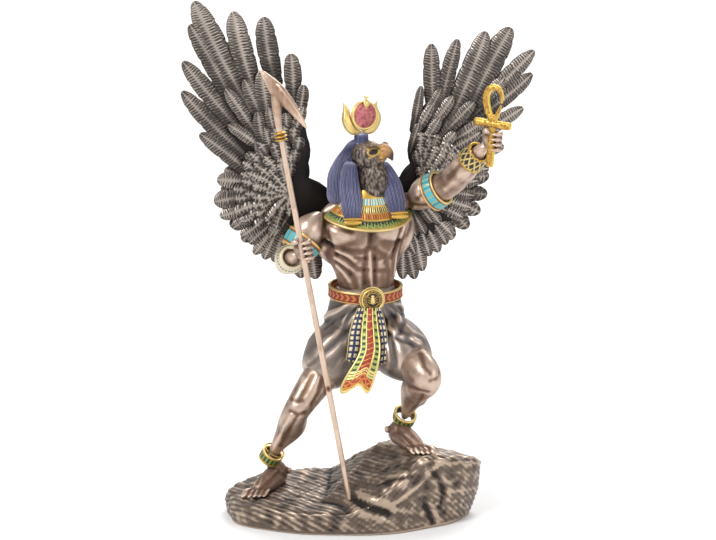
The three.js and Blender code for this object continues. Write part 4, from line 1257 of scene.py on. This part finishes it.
def makeAnkh():
    middle = joint["leftFist"] + 9 * ankhUp

    def at(across, up, ahead=0.0):
        return middle + ankhSide * across + ankhUp * up + ankhFront * ahead

    turns = np.linspace(0, 2 * math.pi, 33)
    loop = [at(6 * (0.72 + 0.28 * math.sin(a)) * math.cos(a), 11 + 8.6 * math.sin(a)) for a in turns]
    forms = [
        limb({"spine": [at(-11, 0), at(0, 0), at(11, 0)], "width": [2.7, 1.9, 2.7], "depth": [1.9, 1.9, 1.9],
              "ahead": ankhFront, "blunt": 0.12}, 40, 60),
        limb({"spine": [at(0, 1.5), at(0, -11), at(0, -23.5)], "width": [1.9, 2.1, 2.7], "depth": [1.9, 1.9, 1.9],
              "ahead": ankhFront, "blunt": 0.12}, 40, 70),
        limb({"spine": loop, "width": [1.9, 1.9], "ahead": ankhFront}, 28, 120),
    ]
    gold = clay(forms, 0.4, 2)
    points, normals = pointsOf(gold), normalsOf(gold)
    dents = grain(points, 1.5, 21, lambda p: noise.voronoi(p)[0][0])
    face = smooth(np.abs(normals @ ankhFront), 0.5, 0.8)
    setPoints(gold, points + normals * (0.45 * face * (dents - 0.5))[:, None])
    brown, bright = vec(0.42, 0.2, 0.05), vec(0.85, 0.6, 0.12)
    noteColour(gold, "paint", mix(bright, mix(brown, bright, np.clip(dents - 0.2, 0, 1)[:, None]), face[:, None]))
    note(gold, "metal", np.full(len(points), 0.75))
    note(gold, "relief", 0.36 + 0.3 * dents)
    piece("ankh", gold, ornament, "gold", "ankh")


makeAnkh()


# Wings: flight feathers behind coverts that grow smaller towards the shoulder.
# A feather is (tip, root, width), read off the photograph in pixels, and the later ones lie further ahead.
rightWing = {
    "name": "right_wing",
    "sail": lambda x, z: 17 + 0.16 * x + 0.0006 * (z - 190) ** 2,
    "plate": ((-34, 184), [15, 17, 28, 50, 54, 38, 24, 32, 34, 38, 44, 40]),
    "turn": 1, "shoulder": (290, 192),
    "flight": [
        ((316, 279), (309, 238), 16), ((301, 278), (299, 236), 15), ((286, 271), (290, 232), 14),
        ((274, 262), (284, 228), 13), ((264, 259), (280, 224), 13), ((254, 254), (277, 222), 12),
        ((249, 243), (274, 221), 13), ((241, 236), (268, 216), 13), ((233, 228), (266, 206), 15),
        ((220, 216), (258, 202), 14), ((214, 201), (256, 192), 19), ((217, 179), (252, 182), 15),
        ((200, 133), (250, 174), 15), ((182, 91), (246, 152), 16), ((183, 61), (236, 124), 16),
        ((190, 24), (228, 94), 17), ((194, 1), (240, 88), 21), ((233, 11), (252, 78), 19),
        ((263.5, 16.5), (274, 72), 18), ((291, 53), (293, 92), 15),
    ],
    "coverts": [
        ((304, 84), (299, 112), 13), ((261.5, 70), (268, 112), 18), ((245, 79), (260, 112), 15), ((226, 88), (252, 126), 14),
        ((229, 124), (258, 145), 13), ((243, 205), (266, 196), 14), ((240, 221), (268, 206), 14),
        ((304, 106), (296, 130), 12), ((286, 112), (286, 140), 14), ((269, 107), (275, 130), 12), ((258, 111), (264, 140), 14),
        ((265, 127), (270, 146), 13), ((258, 141), (266, 162), 13), ((246.5, 152), (262, 166), 12),
        ((256, 226), (274, 208), 13), ((270, 236), (284, 214), 13),
        ((251, 177), (266, 184), 11), ((262.5, 213), (277, 201), 13), ((268, 223), (282, 208), 13), ((274, 235), (288, 216), 14),
    ],
    "scales": [  # pixels from the shoulder, the angles that they run between, how many, width
        (64, 85, 112, 3, 12), (56, 72, 215, 11, 12.5), (47, 78, 235, 11, 12), (39, 80, 250, 11, 11), (31, 84, 262, 9, 10.5),
        (23, 90, 275, 8, 10), (15, 90, 285, 6, 9.5),
    ],
}
leftWing = {
    "name": "left_wing",
    "sail": lambda x, z: 15 + 0.24 * (x - 15) + 0.0006 * (z - 190) ** 2,
    "plate": ((48, 184), [22, 34, 38, 46, 26, 15, 19, 34, 42, 40, 24, 20]),
    "turn": -1, "shoulder": (422, 182),
    "flight": [
        ((403, 279), (402, 236), 13), ((415, 279), (407, 238), 13), ((423, 271), (412, 230), 13),
        ((430, 256), (420, 218), 12), ((439, 252), (424, 216), 13), ((447, 244), (428, 214), 13),
        ((452, 234), (430, 210), 13), ((463, 217), (434, 204), 13), ((471, 207), (440, 196), 12),
        ((474, 195), (444, 190), 12), ((478, 180), (450, 184), 12), ((489, 168), (458, 170), 12),
        ((504, 146), (468, 150), 12), ((523, 107), (478, 138), 13), ((532, 73), (486, 110), 14),
        ((534, 50), (488, 100), 15), ((510.5, 27), (474, 102), 22), ((486, 31), (452, 112), 20),
        ((457.5, 38.5), (441, 106), 14), ((431, 43), (433, 104), 15),
    ],
    "coverts": [
        ((504, 77), (484, 100), 14), ((486, 118), (458, 136), 14), ((480, 131), (450, 148), 16),
        ((474, 101), (446, 130), 15), ((453, 95.5), (434, 122), 13), ((441, 88), (426, 116), 12), ((421, 85), (414, 122), 10),
        ((432, 104), (418, 128), 11), ((455, 131), (438, 150), 13), ((440, 117), (424, 146), 12),
        ((419, 122), (412, 146), 10), ((454, 148), (436, 164), 12), ((434, 140), (420, 162), 11),
        ((447, 210), (428, 196), 12), ((440, 222), (424, 204), 12), ((432, 221), (420, 206), 11), ((425, 232), (414, 212), 11),
        ((416, 234), (408, 214), 11), ((415, 252), (406, 230), 11),
    ],
    "scales": [
        (50, 96, 20, 7, 11), (42, 102, 5, 8, 10.5), (34, 104, -60, 11, 10), (26, 108, -85, 10, 9.5),
        (18, 112, -100, 8, 9), (10, 112, -100, 5, 8.5),
    ],
}


def onSail(wing, pixel):  # x and z where the photograph shows that point of the wing
    line = sightLine(pixel)
    reach = view["distance"]
    for _ in range(6):
        point = eye + line * reach
        reach += (wing["sail"](point[0], point[2]) - point[1]) / line[1]
    return vec(point[0], point[2])


def feather(wing, tip, root, halfWidth, ahead, spacing=0.5, around=18, back=1):
    pitch = 0.95 + 0.13 * min(halfWidth, 5)
    length = np.linalg.norm(tip - root)
    along = (tip - root) / length
    across = vec(along[1], -along[0])
    tone, bend, twist = chance.uniform(-0.06, 0.06), chance.uniform(-0.025, 0.025) * length, chance.uniform(-0.02, 0.04)
    split = chance.uniform(0, 6)
    made = {}

    def place(p):
        angle = np.arctan2(p[:, 0], p[:, 1] * back)
        t = mix(np.arccos(np.clip(p[:, 2], -1, 1)) / math.pi, (1 - p[:, 2]) / 2, 0.4)
        tipFall = np.sqrt(np.clip(1 - np.clip((t - 0.7) / 0.3, 0, 1) ** 2.4, 0, 1)) * (1 - 0.1 * smooth(t, 0.55, 1))
        rootFall = np.sqrt(np.clip(1 - np.clip((0.1 - t) / 0.1, 0, 1) ** 2, 0, 1))
        ragged = 1 - 0.07 * smooth(np.sin(t * length * 0.55 + split), 0.7, 0.95)
        width = halfWidth * mix(0.72, 1.02, smooth(t, 0, 0.5)) * tipFall * rootFall * ragged
        x = width * np.sin(angle)
        share = np.abs(x) / np.maximum(width, 0.01)
        distance = length * t
        front = smooth(np.cos(angle), 0, 0.3)
        rear = smooth(-np.cos(angle), 0, 0.3)
        shaft = hill(x, 0, 0.3) * (1 - 0.4 * t)
        beside = hill(np.abs(x), 0.7, 0.3)
        barb = np.sin(2 * math.pi * (distance - 1.5 * np.abs(x) + 0.12 * np.sin(distance * 1.7 + split)) / pitch)
        vane = smooth(np.abs(x), 0.5, 1.3) * smooth(width, 0.3, 1.2)
        rise = 0.5 * shaft - 0.22 * beside + 0.2 * barb * vane
        thick = 0.7 * tipFall ** 0.5 * rootFall * np.cos(angle)
        roof = 1.1 * share ** 2 * (width / 5)
        flat = root + along * distance[:, None] + across * (x + bend * t * (1 - t) * 4)[:, None]
        lift = 1.0 * t ** 2
        depth = wing["sail"](flat[:, 0], flat[:, 1]) - back * (ahead + lift + thick + rise * front - roof)
        depth += back * 0.5 * rise * rear + (0.1 + twist) * x * wing["turn"]
        edge = smooth(share, 0.8, 1)
        light = 0.5 + tone + 0.4 * shaft - 0.22 * beside + 0.3 * barb * vane + 0.1 * edge + 0.12 * smooth(t, 0.6, 1)
        # Towards the root each feather is darker: painted shadow of the feathers that lie over it. The rear face is
        # also made darker.
        made["light"] = light - 0.3 * (1 - smooth(t, 0.1, 0.55)) - 0.12 * rear
        return np.stack([flat[:, 0], depth, flat[:, 1]], 1)

    mesh = formed("uvsphere", place, u_segments=around, v_segments=max(14, round(length / spacing)), radius=1)
    return mesh, made["light"]


def makeWing(wing):
    feathers = []
    perPixel = 0.5 * view["distance"] / view["focal"]  # half widths in millimetres
    shoulder = onSail(wing, wing["shoulder"])

    def lay(tip, root, width, ahead, under=0.3, **detail):
        tip, root = onSail(wing, tip), onSail(wing, root)
        feathers.append(feather(wing, tip, root + (root - tip) * under, width * perPixel, ahead, **detail))

    for index, (tip, root, width) in enumerate(wing["flight"]):
        lay(tip, root, width * 1.18, 0.12 * index)
    for index, (tip, root, width) in enumerate(wing["coverts"]):
        lay(tip, root, width, 2.6 + 0.08 * index, spacing=0.55, around=16)
    for layer, (reach, low, high, count, width) in enumerate(wing["scales"]):
        for index in range(count):
            angle = math.radians(mix(low, high, (index + 0.25 + 0.5 * (layer % 2)) / count) + chance.uniform(-3, 3))
            far = reach * chance.uniform(0.94, 1.06)
            x, y = wing["shoulder"]
            tip = (x + far * math.cos(angle), y - far * math.sin(angle))
            root = (x + (far - 17) * math.cos(angle), y - (far - 17) * math.sin(angle))
            lay(tip, root, width, 4.1 + 0.25 * layer, 0, spacing=0.65, around=12)
    for layer, radius in enumerate((38, 28, 18)):  # plain coverts behind
        for index in range(3 * (4 - layer)):
            angle = math.radians(90 + wing["turn"] * mix(5, 185, index / (3 * (4 - layer) - 1)))
            tip = shoulder + radius * vec(math.cos(angle), math.sin(angle))
            feathers.append(feather(wing, tip, shoulder + (tip - shoulder) * 0.2, 5, 2 + 0.8 * layer, 0.9, 14, -1))
    middle, reaches = wing["plate"]

    def plate(p):
        angle = np.arctan2(p[:, 2], p[:, 0])
        reach = np.interp(np.degrees(angle) % 360, range(0, 361, 30), [*reaches, reaches[0]])
        x = middle[0] + p[:, 0] * reach * 0.95
        z = middle[1] + p[:, 2] * reach * 0.95
        return np.stack([x, wing["sail"](x, z) + p[:, 1] * 3, z], 1)

    core = formed("uvsphere", plate, u_segments=48, v_segments=24, radius=1)
    light = np.concatenate([values for _, values in feathers] + [np.full(len(core.vertices), 0.1)])
    mesh = joined([mesh for mesh, _ in feathers] + [core])
    # The wing's relief attribute holds the feathers' relief plus painted shadow towards each feather's root.
    note(mesh, "relief", light)
    piece(wing["name"], mesh, featherBronze, "feather", wing["name"])


makeWing(rightWing)
makeWing(leftWing)


# Camera, light and floor
def look(body, target):
    body.rotation_euler = (target - body.location).to_track_quat("-Z", "Y").to_euler()


def makeStudio():
    camera = bpy.data.objects.new("camera", bpy.data.cameras.new("camera"))
    camera.data.sensor_width = 36
    camera.data.lens = view["focal"] * 36 / 716
    camera.location = Vector(eye / 1000)
    look(camera, Vector(view["target"] / 1000))
    bpy.context.scene.collection.objects.link(camera)
    bpy.context.scene.camera = camera
    lamps = {  # place in metres, size, watts
        "key": ((-0.55, -0.7, 0.9), 0.45, 9),
        "fill": ((0.9, -0.8, 0.5), 0.7, 3),
        "back": ((0.3, 0.8, 1.0), 0.8, 9),
    }
    for name, (place, size, watts) in lamps.items():
        lamp = bpy.data.objects.new(name, bpy.data.lights.new(name, "AREA"))
        lamp.data.size = size
        lamp.data.energy = watts
        lamp.location = place
        look(lamp, Vector((0, 0, 0.14)))
        bpy.context.scene.collection.objects.link(lamp)
    world = bpy.data.worlds.new("studio")
    world.use_nodes = True
    world.node_tree.nodes["Background"].inputs["Color"].default_value = (1, 1, 1, 1)
    world.node_tree.nodes["Background"].inputs["Strength"].default_value = 0.62
    bpy.context.scene.world = world
    bpy.context.scene.view_settings.view_transform = "Standard"
    def cove(p):  # the floor turns up into a backdrop
        y = p[:, 1] * 2600
        rise = np.maximum(0, y - 900)
        return np.stack([p[:, 0] * 3000, y - 0.6 * rise, 1.6 * rise ** 2 / (rise + 500) - 0.4], 1)

    floor = formed("grid", cove, x_segments=2, y_segments=80, size=1)
    setPoints(floor, pointsOf(floor) / 1000)
    floor.materials.append(Finish("floor", Base_Color=(0.9, 0.9, 0.9, 1), Roughness=0.7).material)
    body = bpy.data.objects.new("floor", floor)
    bpy.context.scene.collection.objects.link(body)


makeStudio()
